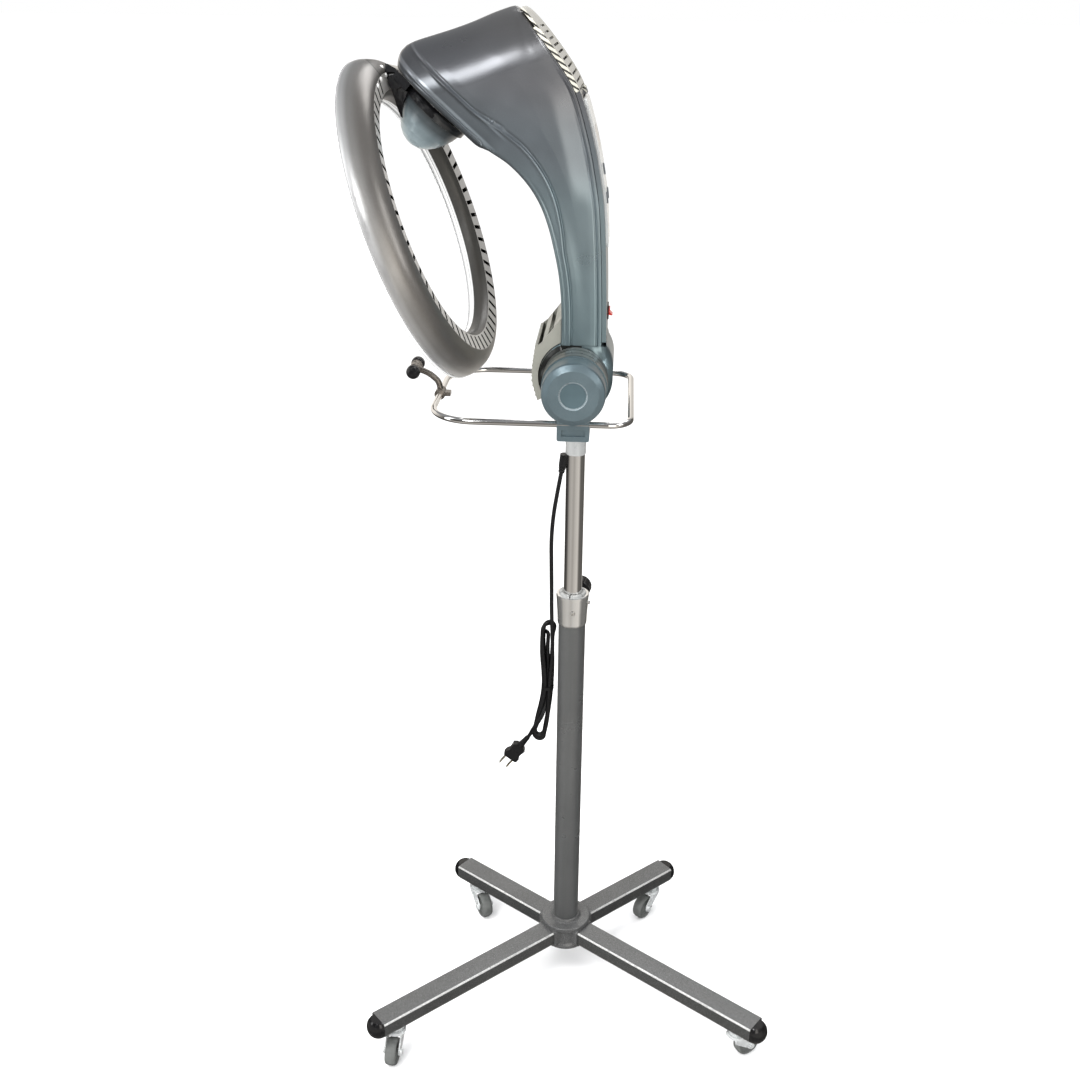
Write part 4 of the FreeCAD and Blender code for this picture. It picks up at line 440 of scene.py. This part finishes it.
# ---------------------------------------------------------------------------
# outline curves of the arm and head, in millimetres in the X-Z plane
# ---------------------------------------------------------------------------
FRONT = [(-19, 1019), (-19, 1050), (-20.5, 1080), (-24, 1108), (-30, 1136), (-37, 1162), (-47, 1187), (-62, 1210), (-83, 1231), (-107, 1246.5)]
LIP_LO, LIP_HI = (-120.4, 1251.4), (-218.6, 1337.8)
TIP = [(-218.6, 1337.8), (-218.2, 1345), (-215.2, 1352), (-209.0, 1358)]
TOP = [(-209.0, 1358), (-198, 1363), (-175, 1370), (-152, 1377), (-128, 1385.5), (-107, 1394), (-88, 1400.5), (-78, 1402.5)]
REAR = [(-78, 1402.5), (-70, 1400.5), (-61, 1393), (-43, 1373), (-22, 1346.5), (-8, 1326), (1, 1307), (10, 1279), (18, 1249), (24, 1219), (29, 1188), (32, 1150),
        (34.5, 1100), (36, 1055), (36.5, 1019)]
ARM_HW = 66.6


def catmull(P, n=12):
    Q = [tuple(2 * a - b for a, b in zip(P[0], P[1]))] + list(P) + [tuple(2 * a - b for a, b in zip(P[-1], P[-2]))]
    out = []
    for i in range(1, len(Q) - 2):
        p0, p1, p2, p3 = Q[i - 1:i + 3]
        for k in range(n):
            t = k / n
            out.append(tuple(0.5 * ((2 * b) + (-a + c) * t + (2 * a - 5 * b + 4 * c - d) * t * t + (-a + 3 * b - 3 * c + d) * t ** 3) for a, b, c, d in zip(p0, p1, p2, p3)))
    out.append(P[-1])
    return out


class Line2:
    """a smooth line in the plane, read by its share of length"""

    def __init__(self, pts):
        self.p = np.array(pts, float)
        d = np.linalg.norm(np.diff(self.p, axis=0), axis=1)
        self.s = np.concatenate([[0], np.cumsum(d)])
        self.len = self.s[-1]

    def at(self, t):
        s = np.asarray(t) * self.len
        return np.stack([np.interp(s, self.s, self.p[:, 0]), np.interp(s, self.s, self.p[:, 1])], -1)

    def where(self, q):
        """share of length nearest to a point"""
        i = np.argmin(np.hypot(self.p[:, 0] - q[0], self.p[:, 1] - q[1]))
        return self.s[i] / self.len

    def dist(self, pts):
        """distance of points from the line"""
        a, b = self.p[:-1], self.p[1:]
        best = np.full(len(pts), 1e9)
        for (ax, az), (bx, bz) in zip(a, b):
            dx, dz = bx - ax, bz - az
            l2 = dx * dx + dz * dz + 1e-12
            t = np.clip(((pts[:, 0] - ax) * dx + (pts[:, 1] - az) * dz) / l2, 0, 1)
            best = np.minimum(best, np.hypot(pts[:, 0] - ax - t * dx, pts[:, 1] - az - t * dz))
        return best


def offset_open(P, d):
    out = []
    for i in range(len(P)):
        a, b = P[max(i - 1, 0)], P[min(i + 1, len(P) - 1)]
        tx, tz = b[0] - a[0], b[1] - a[1]
        l = math.hypot(tx, tz)
        out.append((P[i][0] - tz / l * d, P[i][1] + tx / l * d))
    return out


fr, tp, to, re_ = catmull(FRONT), catmull(TIP), catmull(TOP), catmull(REAR)
SEAM = 5.6
FRONT_L = Line2(fr + [LIP_LO])
LIP_L = Line2([LIP_LO, LIP_HI])
REAR_L = Line2(re_)
seam_pts = [p for p in offset_open(re_, -SEAM) if p[1] < 1396.5]
crest = (tp + to[1:])                                    # from the tip up to the apex
crest_end = (-81.0, 1402.0)
crest_cut = [p for p in crest if p[0] < -82.0]
RIGHT_L = Line2(seam_pts[::-1] + [(-77.0, 1399.3), crest_end] + crest_cut[::-1])
TD = np.array([0.945, 0.327]) / math.hypot(0.945, 0.327)
TN = np.array([-TD[1], TD[0]])
TOP0 = np.array([-107.0, 1394.0])


def smooth(x, a, b):
    t = np.clip((x - a) / (b - a), 0, 1)
    return t * t * (3 - 2 * t)


_cs = np.array([(np.dot(np.array(p) - TOP0, TD), np.dot(np.array(p) - TOP0, TN)) for p in crest])
_order = np.argsort(_cs[:, 0])
_cs = _cs[_order]


def below_crest(P):
    s = (P - TOP0) @ TD
    n = (P - TOP0) @ TN
    return np.interp(s, _cs[:, 0], _cs[:, 1]) - n


def band_width(z):
    return 12.0 + 16.0 * np.clip((z - 1130) / 130.0, 0, 1)


def side_y(P, u=None):
    """how far the side stands out from the plane of symmetry at points (x, z)"""
    z = P[:, 1]
    d = below_crest(P)
    drop = 66.0
    a = np.clip(1 - np.maximum(d, 0) / drop, 0, 1)
    arch = np.sqrt(np.clip(1 - a ** 2.1, 0, 1))
    ef, el, er = FRONT_L.dist(P), LIP_L.dist(P), REAR_L.dist(P)
    # gentle crown of the side, more in the head than in the arm
    crown = 2.6 * smooth(z, 1120, 1260) * np.clip(np.minimum(ef, er) / 55.0, 0, 1) ** 0.8 * np.clip(el / 40.0, 0.2, 1)
    crown += 0.5 * np.clip(np.minimum(ef, er) / 20.0, 0, 1)
    # waist where the head runs into the arm
    waist = -1.4 * np.exp(-((z - 1128) / 52.0) ** 2) * smooth(ef, 6, 30)
    g1, g2 = el - 28.0, ef - band_width(z)
    k = 16.0
    h = np.clip(0.5 + 0.5 * (g2 - g1) / k, 0, 1)
    g = g2 * (1 - h) + g1 * h - k * h * (1 - h)
    fade = 0.45 + 0.55 * smooth(z, 1140, 1185)
    band = 2.1 * (1 - smooth(g, -0.9, 0.8)) + fade * (0.9 * np.exp(-((g + 2.2) / 1.5) ** 2) - 1.2 * np.exp(-((g - 0.9) / 1.0) ** 2))
    # rim of the mouth and double bead of the front edge
    rim = -1.2 * np.exp(-((el - 7.2) / 1.0) ** 2) - 1.1 * np.exp(-((ef - 5.4) / 0.9) ** 2) * (1 - 0.8 * smooth(z, 1185, 1235))
    bead = 2.0 * (1 - smooth(er, 9.9, 11.0)) - 1.0 * np.exp(-((er - 11.9) / 0.9) ** 2) * (1 - 0.8 * smooth(z, 1240, 1330))
    bead = bead * (1 - smooth(z, 1290, 1350)) + 0.6 * (1 - smooth(er, 7.0, 8.4)) * smooth(z, 1290, 1350)
    # the rear corner of the head rolls over towards the back
    roll = -4.0 * (1 - smooth(er, 8, 38)) * smooth(z, 1180, 1228) * (1 - smooth(z, 1275, 1345))
    y = (ARM_HW - 0.4 + crown + waist + band + rim + bead + roll)
    r = 4.6
    for e in (ef, el):
        y = y - (r - np.sqrt(np.clip(r * r - np.clip(r - e, 0, r) ** 2, 0, None)))
    rs = 1.1
    es = np.clip(er - SEAM, 0, None)
    y = y - (rs - np.sqrt(np.clip(rs * rs - np.clip(rs - es, 0, rs) ** 2, 0, None)))
    return y * arch


def skin_grid():
    knots = [(0.0, 0.0, 0.0)]
    for uu, pf, pr in ((0.22, (-24, 1108), (29.0, 1105)), (0.42, (-47, 1187), (18.5, 1212)), (0.58, (-75, 1223), (-5.0, 1303)), (0.72, (-98, 1241), (-74.0, 1393.0))):
        knots.append((uu, FRONT_L.where(pf), RIGHT_L.where(pr)))
    knots.append((0.745, FRONT_L.where((-101, 1243)), RIGHT_L.where(crest_end)))
    knots.append((1.0, 1.0, 1.0))
    ku, kf, kr = (np.array(c) for c in zip(*knots))
    us = np.concatenate([np.linspace(0, 0.70, 120, endpoint=False), np.linspace(0.70, 0.86, 60, endpoint=False), np.linspace(0.86, 0.965, 60, endpoint=False),
                         0.965 + 0.035 * np.sin(np.linspace(0, math.pi / 2, 26))])
    F0, R0 = FRONT_L.at(0.0), RIGHT_L.at(0.0)
    rows = []
    for u in us:
        F, R = FRONT_L.at(np.interp(u, ku, kf)), RIGHT_L.at(np.interp(u, ku, kr))
        L = float(np.linalg.norm(R - F))
        w = float(band_width(F[1]))
        de = min(56.0, 0.45 * L)
        e = list(4.6 * (1 - np.cos(np.linspace(0, math.pi / 2, 9))))[:-1]
        e += list(np.linspace(4.6, w - 3, 9))[:-1]
        e += list(np.linspace(w - 3, w + 3, 15))[:-1]
        e += list(np.linspace(w + 3, L - de, 30))[:-1]
        e += list(L - de * (1 - np.cos(np.linspace(math.pi / 2, 0, 30))))
        v = np.clip(np.array(e) / L, 0, 1)[:, None]
        B = F0 * (1 - v) + R0 * v
        T = LIP_L.at(v[:, 0])
        c = (F0 * (1 - v) + R0 * v) * (1 - u) + (np.array(LIP_LO) * (1 - v) + np.array(LIP_HI) * v) * u
        rows.append((1 - v) * F + v * R + (1 - u) * B + u * T - c)
    return np.array(rows)


def mesh_piece(name, verts, faces, mat, body, smooth_it=True, weld=0.002, recalc=True):
    me = bpy.data.meshes.new(name)
    me.from_pydata([tuple(c * MM for c in v) for v in verts], [], faces)
    bm = bmesh.new()
    bm.from_mesh(me)
    if weld:
        bmesh.ops.remove_doubles(bm, verts=bm.verts, dist=weld * MM)
    if recalc:
        bmesh.ops.recalc_face_normals(bm, faces=bm.faces)
    bm.to_mesh(me)
    bm.free()
    me.validate()
    if smooth_it:
        me.shade_smooth()
    for m in (mat if isinstance(mat, (list, tuple)) else [mat]):
        me.materials.append(m)
    o = bpy.data.objects.new(name, me)
    scene.collection.objects.link(o)
    if body:
        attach(o, body)
    return o


def build_skin():
    G = skin_grid()                                       # rows x columns x 2
    nr, nc = G.shape[:2]
    Y = side_y(G.reshape(-1, 2)).reshape(nr, nc)
    crest_row = np.array([abs(Y[i, -1]) < 0.6 for i in range(nr)])
    V, F = [], []
    for sgn in (-1, 1):
        base = len(V)
        for i in range(nr):
            for j in range(nc):
                y = Y[i, j]
                if j == nc - 1 and crest_row[i]:
                    y = 0.0
                V.append((G[i, j, 0], sgn * y, G[i, j, 1]))
        for i in range(nr - 1):
            for j in range(nc - 1):
                q = (base + i * nc + j, base + i * nc + j + 1, base + (i + 1) * nc + j + 1, base + (i + 1) * nc + j)
                F.append(q if sgn < 0 else q[::-1])
    half = nr * nc
    # front face across, between the two rounded front edges
    m = 10
    cols = []
    for k in range(m + 1):
        t = k / m
        if k == 0:
            cols.append([i * nc for i in range(nr)])
        elif k == m:
            cols.append([half + i * nc for i in range(nr)])
        else:
            ids = []
            for i in range(nr):
                y = -Y[i, 0] * (1 - t) + Y[i, 0] * t
                V.append((G[i, 0, 0], y, G[i, 0, 1]))
                ids.append(len(V) - 1)
            cols.append(ids)
    for a, b in zip(cols[:-1], cols[1:]):
        for i in range(nr - 1):
            F.append((a[i], a[i + 1], b[i + 1], b[i]))
    # back wall under the rear cover
    n_wall = int(np.argmax(crest_row)) if crest_row.any() else nr - 1
    wall_faces = []
    ring_a = [i * nc + nc - 1 for i in range(n_wall + 1)]
    ring_b = [half + i * nc + nc - 1 for i in range(n_wall + 1)]
    for i in range(n_wall):
        wall_faces.append((ring_a[i], ring_b[i], ring_b[i + 1], ring_a[i + 1]))
    # mouth: face in the lip plane in to the round hole, and its wall
    loop = [(nr - 1) * nc + j for j in range(nc)] + [half + (nr - 1) * nc + j for j in range(nc - 2, -1, -1)]
    loop += [c[nr - 1] for c in cols[::-1][1:-1]]
    U3 = np.array([-0.6613118653236518, 0.0, -0.7501110696304596])
    E03 = np.array([0.7501110696304596, 0.0, -0.6613118653236518])
    AX3 = np.array([-168.52450018666295, 0.0, 1293.8240966060434])
    E13 = np.array([0.0, -1.0, 0.0])
    prev = loop
    angs = []
    for idx in loop:
        p = np.array(V[idx]) - AX3
        angs.append(math.atan2(p @ E13, p @ E03))
    rings = []
    for rr, hh in ((None, 0.0), (60.0, 0.0), (58.4, -0.3), (57.4, -1.2), (57.0, -2.6), (57.0, -12.0)):
        ids = []
        for idx, an in zip(loop, angs):
            if rr is None:
                p = np.array(V[idx])
                c = AX3 + (E03 * math.cos(an) + E13 * math.sin(an)) * 60.0
                q = p * 0.5 + c * 0.5
                q = q - U3 * ((q - AX3) @ U3)
            else:
                q = AX3 + (E03 * math.cos(an) + E13 * math.sin(an)) * rr + U3 * hh
            V.append(tuple(q))
            ids.append(len(V) - 1)
        rings.append(ids)
    for ids in rings:
        n = len(loop)
        for k in range(n):
            F.append((prev[k], prev[(k + 1) % n], ids[(k + 1) % n], ids[k]))
        prev = ids
    return V, F, wall_faces


# ---------------------------------------------------------------------------
# CAD nodes: a table of edge widths (not applied), their finish and smooth shading
# ---------------------------------------------------------------------------
EDGE = {"leg_end_caps": 0.3, "head_arm_shell": 0.7, "rear_cover": 0.35, "hinge_caps": 0.5, "pivot_block": 0.5, "ring_rear_shell": 0.25, "plug": 0.4, "clamp_knob": 0.4,
        "column_collar": 0.3, "neck_front_cover": 0.3, "base_hub": 0.5}
for name, o in N.items():
    o.data.materials.clear()
    o.data.materials.append(M[PAINT[name]])
    o.data.shade_smooth()



def face_slots(o, mats, pick):
    """give each face one of the materials: pick takes its centre and normal and returns an index"""
    for m in mats[1:]:
        o.data.materials.append(m)
    for f in o.data.polygons:
        f.material_index = pick(f.center, f.normal)


def ring_rh(c):
    """radius from the ring's axis and height along it, in millimetres"""
    d = np.array(c) - RING_C
    h = float(d @ RING_N)
    return float(np.linalg.norm(d - RING_N * h)) / MM, h / MM


def ring_part(c, n):
    r, h = ring_rh(c)
    d = np.array(c) - RING_C
    rad = d - RING_N * float(d @ RING_N)
    rad /= np.linalg.norm(rad)
    nr, nh = float(np.array(n) @ rad), float(np.array(n) @ RING_N)
    slot_wall = abs(nr) < 0.35 and abs(nh) < 0.35 and 154 < r < 173.5
    if slot_wall:
        return 3
    if h < -14.9 and 153.3 < r < 172.9 and nh < -0.5:
        return 1
    if r < 154.5 and nr < -0.05:
        return 2 if nh < 0.75 else 0
    if r < 171 and nr > 0.2 and nh > -0.9:
        return 3
    if nh > 0.5 and h < 2:
        return 3
    return 0


face_slots(N["ring_rear_shell"], [M["ring_paint"], M["ring_band"], M["ring_inner"], M["inside_black"]], ring_part)
face_slots(N["ring_front_reflector"], [M["reflector_white"], M["inside_black"]], lambda c, n: 1 if (float(np.array(n) @ RING_N) < -0.2 and 151.5 < ring_rh(c)[0] < 195) else 0)

# faces by normal: tops keep the paint, steep flanks take the painted shade, slanted edges the painted highlight
def leg_part(c, n):
    if n.z > 0.93:
        return 0
    return 2 if n.z > 0.22 else 1


for k in ("leg_front_left", "leg_front_right", "leg_rear_left", "leg_rear_right"):
    face_slots(N[k], [M["base_paint"], M["base_side_painted_shade"], M["base_edge_painted_highlight"]], leg_part)


# outer faces of the caps: centre disc, the groove round it with its painted highlight, and the rest
def cap_part(c, n):
    r = math.hypot(c.x, c.z - 0.977) / MM
    if abs(c.y) < 0.139:
        return 0
    return 2 if r < 15.7 else (1 if r < 17.7 else 0)


face_slots(N["hinge_caps"], [M["joint_plastic"], M["cap_ring_painted_highlight"], M["cap_disc"]], cap_part)
face_slots(N["pivot_block"], [M["joint_plastic"], M["drum"]], lambda c, n: 1 if (c.z > 0.9485 and abs(n.y) < 0.5) else 0)
# rear cover: arm colour below the grille, and above it the painted slot shade on its side faces
face_slots(N["rear_cover"], [M["rear_plastic"], M["arm_plastic"], M["slat_edge_painted_slot_shade"]],
           lambda c, n: 1 if c.z < 1.312 else (2 if abs(n.y) > 0.35 else 0))
ER3 = np.array([0.75011107, 0.0, -0.66131187])


def bracket_part(c, n):
    d = np.array(c) - ROT_A
    h = float(d @ ROT_U)
    s_ = float(d @ ER3)
    q = d - ROT_U * h
    return 1 if (0.0045 < h < 0.0165 and np.linalg.norm(q) > 0.0395 and s_ > 0.004) else 0


face_slots(N["ring_bracket"], [M["bracket_black"], M["cup_plastic"]], bracket_part)

# ---------------------------------------------------------------------------
# arm and head: smooth skin above the neck's seam, the neck itself as in the CAD
# ---------------------------------------------------------------------------
sv, sf, wall_f = build_skin()
arm_skin = mesh_piece("arm_skin", sv, sf + wall_f, M["arm_plastic"], "arm")
neck_me = N["head_arm_shell"].data.copy()
bm = bmesh.new()
bm.from_mesh(neck_me)
bmesh.ops.remove_doubles(bm, verts=bm.verts, dist=1e-5)
bmesh.ops.bisect_plane(bm, geom=bm.verts[:] + bm.edges[:] + bm.faces[:], plane_co=(0, 0, 1.0185), plane_no=(0, 0, 1), clear_outer=True)
bm.to_mesh(neck_me)
bm.free()
arm_neck = bpy.data.objects.new("arm_neck", neck_me)
scene.collection.objects.link(arm_neck)
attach(arm_neck, "arm")
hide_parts("head_arm_shell")
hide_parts("head_arm_shell")
face_slots(arm_neck, [M["arm_plastic"], M["drum"]], lambda c, n: 1 if (c.z < 1.012 and c.x < 0.004) else 0)



def lathe_mesh(name, prof, p, axis, mat, body, n=64):
    """turned piece: prof is a list of (radius, distance along the axis) in millimetres"""
    z = Vector(axis).normalized()
    x = z.cross(Vector((0, 1, 0))) if abs(z.y) < 0.9 else Vector((0, 0, 1)).cross(z)
    x.normalize()
    y = z.cross(x)
    P = Vector(p)
    V, F = [], []
    for r, h in prof:
        for k in range(n):
            a = 2 * math.pi * k / n
            V.append(tuple(P + x * (r * math.cos(a)) + y * (r * math.sin(a)) + z * h))
    for i in range(len(prof) - 1):
        for k in range(n):
            F.append((i * n + k, i * n + (k + 1) % n, (i + 1) * n + (k + 1) % n, (i + 1) * n + k))
    return mesh_piece(name, V, F, mat, body, weld=0.001)


grip_sleeve = lathe_mesh("grip_sleeve", [(4.1, -11.95), (7.2, -11.95), (7.5, -11.5), (7.5, -3.2), (7.3, -2.9), (7.3, 2.9), (7.5, 3.2), (7.5, 11.5), (7.2, 11.95), (4.1, 11.95)],
                         (-211.0, 0.0, 966.0), (0, 1, 0), M["stem_metal"], "yoke")

# ---------------------------------------------------------------------------
# the cord as a piece
# ---------------------------------------------------------------------------
mains_cord.data.materials.append(M["cord_black"])
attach(mains_cord, "mast")
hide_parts("cord_drop", "cord_hank", "cord_tail")

# ---------------------------------------------------------------------------
# floor and light
# ---------------------------------------------------------------------------
me = bpy.data.meshes.new("floor")
me.from_pydata([(-60, -60, 0), (60, -60, 0), (60, 60, 0), (-60, 60, 0)], [], [(0, 1, 2, 3)])
floor = bpy.data.objects.new("floor", me)
scene.collection.objects.link(floor)
fm = Mat("floor_paint", (0.90, 0.90, 0.90), rough=0.9, spec=0.0)
floor.data.materials.append(fm.done())

world = bpy.data.worlds.new("world")
scene.world = world
world.use_nodes = True
wt = world.node_tree
wt.nodes.clear()
wo = wt.nodes.new("ShaderNodeOutputWorld")
bg = wt.nodes.new("ShaderNodeBackground")
sky = wt.nodes.new("ShaderNodeBackground")
pick = wt.nodes.new("ShaderNodeMixShader")
lp = wt.nodes.new("ShaderNodeLightPath")
wt.links.new(lp.outputs["Is Glossy Ray"], pick.inputs[0])
wt.links.new(bg.outputs[0], pick.inputs[1])
wt.links.new(sky.outputs[0], pick.inputs[2])
far = wt.nodes.new("ShaderNodeBackground")
pick2 = wt.nodes.new("ShaderNodeMixShader")
far.inputs["Color"].default_value = (1.0, 1.0, 1.0, 1.0)
far.inputs["Strength"].default_value = 1.0
wt.links.new(lp.outputs["Is Camera Ray"], pick2.inputs[0])
wt.links.new(pick.outputs[0], pick2.inputs[1])
wt.links.new(far.outputs[0], pick2.inputs[2])
wt.links.new(pick2.outputs[0], wo.inputs[0])
bg.inputs["Color"].default_value = (0.98, 0.985, 1.0, 1.0)
bg.inputs["Strength"].default_value = 0.80
sky.inputs["Color"].default_value = (0.95, 0.97, 1.0, 1.0)
sky.inputs["Strength"].default_value = 0.30


def area(name, pos, target, sx, sy, power, colour=(1, 1, 1)):
    l = bpy.data.lights.new(name, "AREA")
    l.shape = "RECTANGLE"
    l.size, l.size_y = sx, sy
    l.energy = power
    l.color = colour
    o = bpy.data.objects.new(name, l)
    o.location = pos
    o.rotation_mode = "QUATERNION"
    o.rotation_quaternion = (Vector(target) - Vector(pos)).to_track_quat("-Z", "Y")
    o.visible_camera = False
    scene.collection.objects.link(o)
    return o


sun = bpy.data.lights.new("sun", "SUN")
sun.energy = 1.5
sun.angle = D(70)
sun_o = bpy.data.objects.new("sun", sun)
sun_o.rotation_euler = (D(18), D(-14), 0)
sun_o.visible_glossy = False
scene.collection.objects.link(sun_o)

area("key_light", (-1.15, -0.85, 2.75), (-0.05, 0.0, 1.2), 1.3, 1.3, 46).visible_glossy = False
area("front_soft", (-0.75, -1.75, 1.72), (-0.05, 0.0, 1.25), 0.75, 1.25, 29)
area("fill_right", (1.15, -0.75, 1.5), (0.0, 0.0, 0.9), 0.5, 1.4, 9)
area("left_strip", (-1.25, -0.45, 1.2), (0.0, 0.0, 0.9), 0.35, 1.6, 4)
area("back_top", (0.4, 1.7, 2.9), (0.0, 0.0, 1.0), 1.4, 1.0, 18)

# studio wall round the set: it only shows in reflections, warm and light on the camera's side, dark at the sides
WALL = [(-180, 0.80), (-158, 0.70), (-144, 0.06), (-88, 0.10), (-68, 0.38), (-36, 0.50), (-8, 0.40), (14, 0.55), (50, 0.66), (62, 0.34), (76, 0.13), (110, 0.13), (144, 0.06),
        (158, 0.70), (180, 0.80)]
n_wall = 72
WALL_UP = [(-180, 1.0), (-118, 1.0), (-100, 0.55), (-80, 0.10), (-40, 0.08), (-10, 0.13), (3, 0.20), (12, 2.6), (26, 2.6), (38, 0.35), (60, 0.33), (76, 0.13), (110, 0.13), (144, 0.10), (158, 0.60), (180, 0.85)]
rows_w = [(0.02, 0.0034), (0.44, 0.0036), (0.46, 0.004), (1.0, 0.24), (1.5, 0.46), (1.5, 1.65)]
wv = [(r * math.cos(2 * math.pi * k / n_wall), r * math.sin(2 * math.pi * k / n_wall), z) for r, z in rows_w for k in range(n_wall)]
wf = [(j * n_wall + k, j * n_wall + (k + 1) % n_wall, (j + 1) * n_wall + (k + 1) % n_wall, (j + 1) * n_wall + k) for j in range(len(rows_w) - 1) for k in range(n_wall)]
me = bpy.data.meshes.new("studio_wall")
me.from_pydata(wv, [], wf)
wall = bpy.data.objects.new("studio_wall", me)
scene.collection.objects.link(wall)
wall.visible_camera = wall.visible_diffuse = wall.visible_shadow = wall.visible_transmission = wall.visible_volume_scatter = False
wm = bpy.data.materials.new("studio_wall")
wm.use_nodes = True
nt = wm.node_tree
nt.nodes.clear()
out = nt.nodes.new("ShaderNodeOutputMaterial")
em = nt.nodes.new("ShaderNodeEmission")
tc = nt.nodes.new("ShaderNodeTexCoord")
sep = nt.nodes.new("ShaderNodeSeparateXYZ")
neg = nt.nodes.new("ShaderNodeMath")
neg.operation = "MULTIPLY"
neg.inputs[1].default_value = -1.0
at = nt.nodes.new("ShaderNodeMath")
at.operation = "ARCTAN2"
mr = nt.nodes.new("ShaderNodeMapRange")
mr.inputs["From Min"].default_value = -math.pi
mr.inputs["From Max"].default_value = math.pi


def azimuth_ramp(table):
    r = nt.nodes.new("ShaderNodeValToRGB")
    e = r.color_ramp.elements
    while len(e) < len(table):
        e.new(0.5)
    for k, (deg, v) in zip(e, table):
        k.position = (deg + 180) / 360
        k.color = (v, v * 0.95, v * 0.88, 1.0)
    nt.links.new(mr.outputs[0], r.inputs[0])
    return r


low, up = azimuth_ramp(WALL), azimuth_ramp(WALL_UP)
nt.links.new(tc.outputs["Object"], sep.inputs[0])
nt.links.new(sep.outputs["Y"], neg.inputs[0])
nt.links.new(sep.outputs["X"], at.inputs[0])
nt.links.new(neg.outputs[0], at.inputs[1])
nt.links.new(at.outputs[0], mr.inputs["Value"])
rise = nt.nodes.new("ShaderNodeMapRange")
rise.inputs["From Min"].default_value = 0.40
rise.inputs["From Max"].default_value = 0.60
nt.links.new(sep.outputs["Z"], rise.inputs["Value"])
both = nt.nodes.new("ShaderNodeMix")
both.data_type = "RGBA"
nt.links.new(rise.outputs[0], both.inputs["Factor"])
nt.links.new(low.outputs[0], both.inputs[6])
nt.links.new(up.outputs[0], both.inputs[7])
# the floor close to the stand shows dark in polished metal
near = nt.nodes.new("ShaderNodeMapRange")
near.inputs["From Min"].default_value = 0.0038
near.inputs["From Max"].default_value = 0.02
near.inputs["To Min"].default_value = 0.42
near.inputs["To Max"].default_value = 1.0
nt.links.new(sep.outputs["Z"], near.inputs["Value"])
nt.links.new(both.outputs[2], em.inputs["Color"])
nt.links.new(near.outputs[0], em.inputs["Strength"])
nt.links.new(em.outputs[0], out.inputs[0])
me.materials.append(wm)
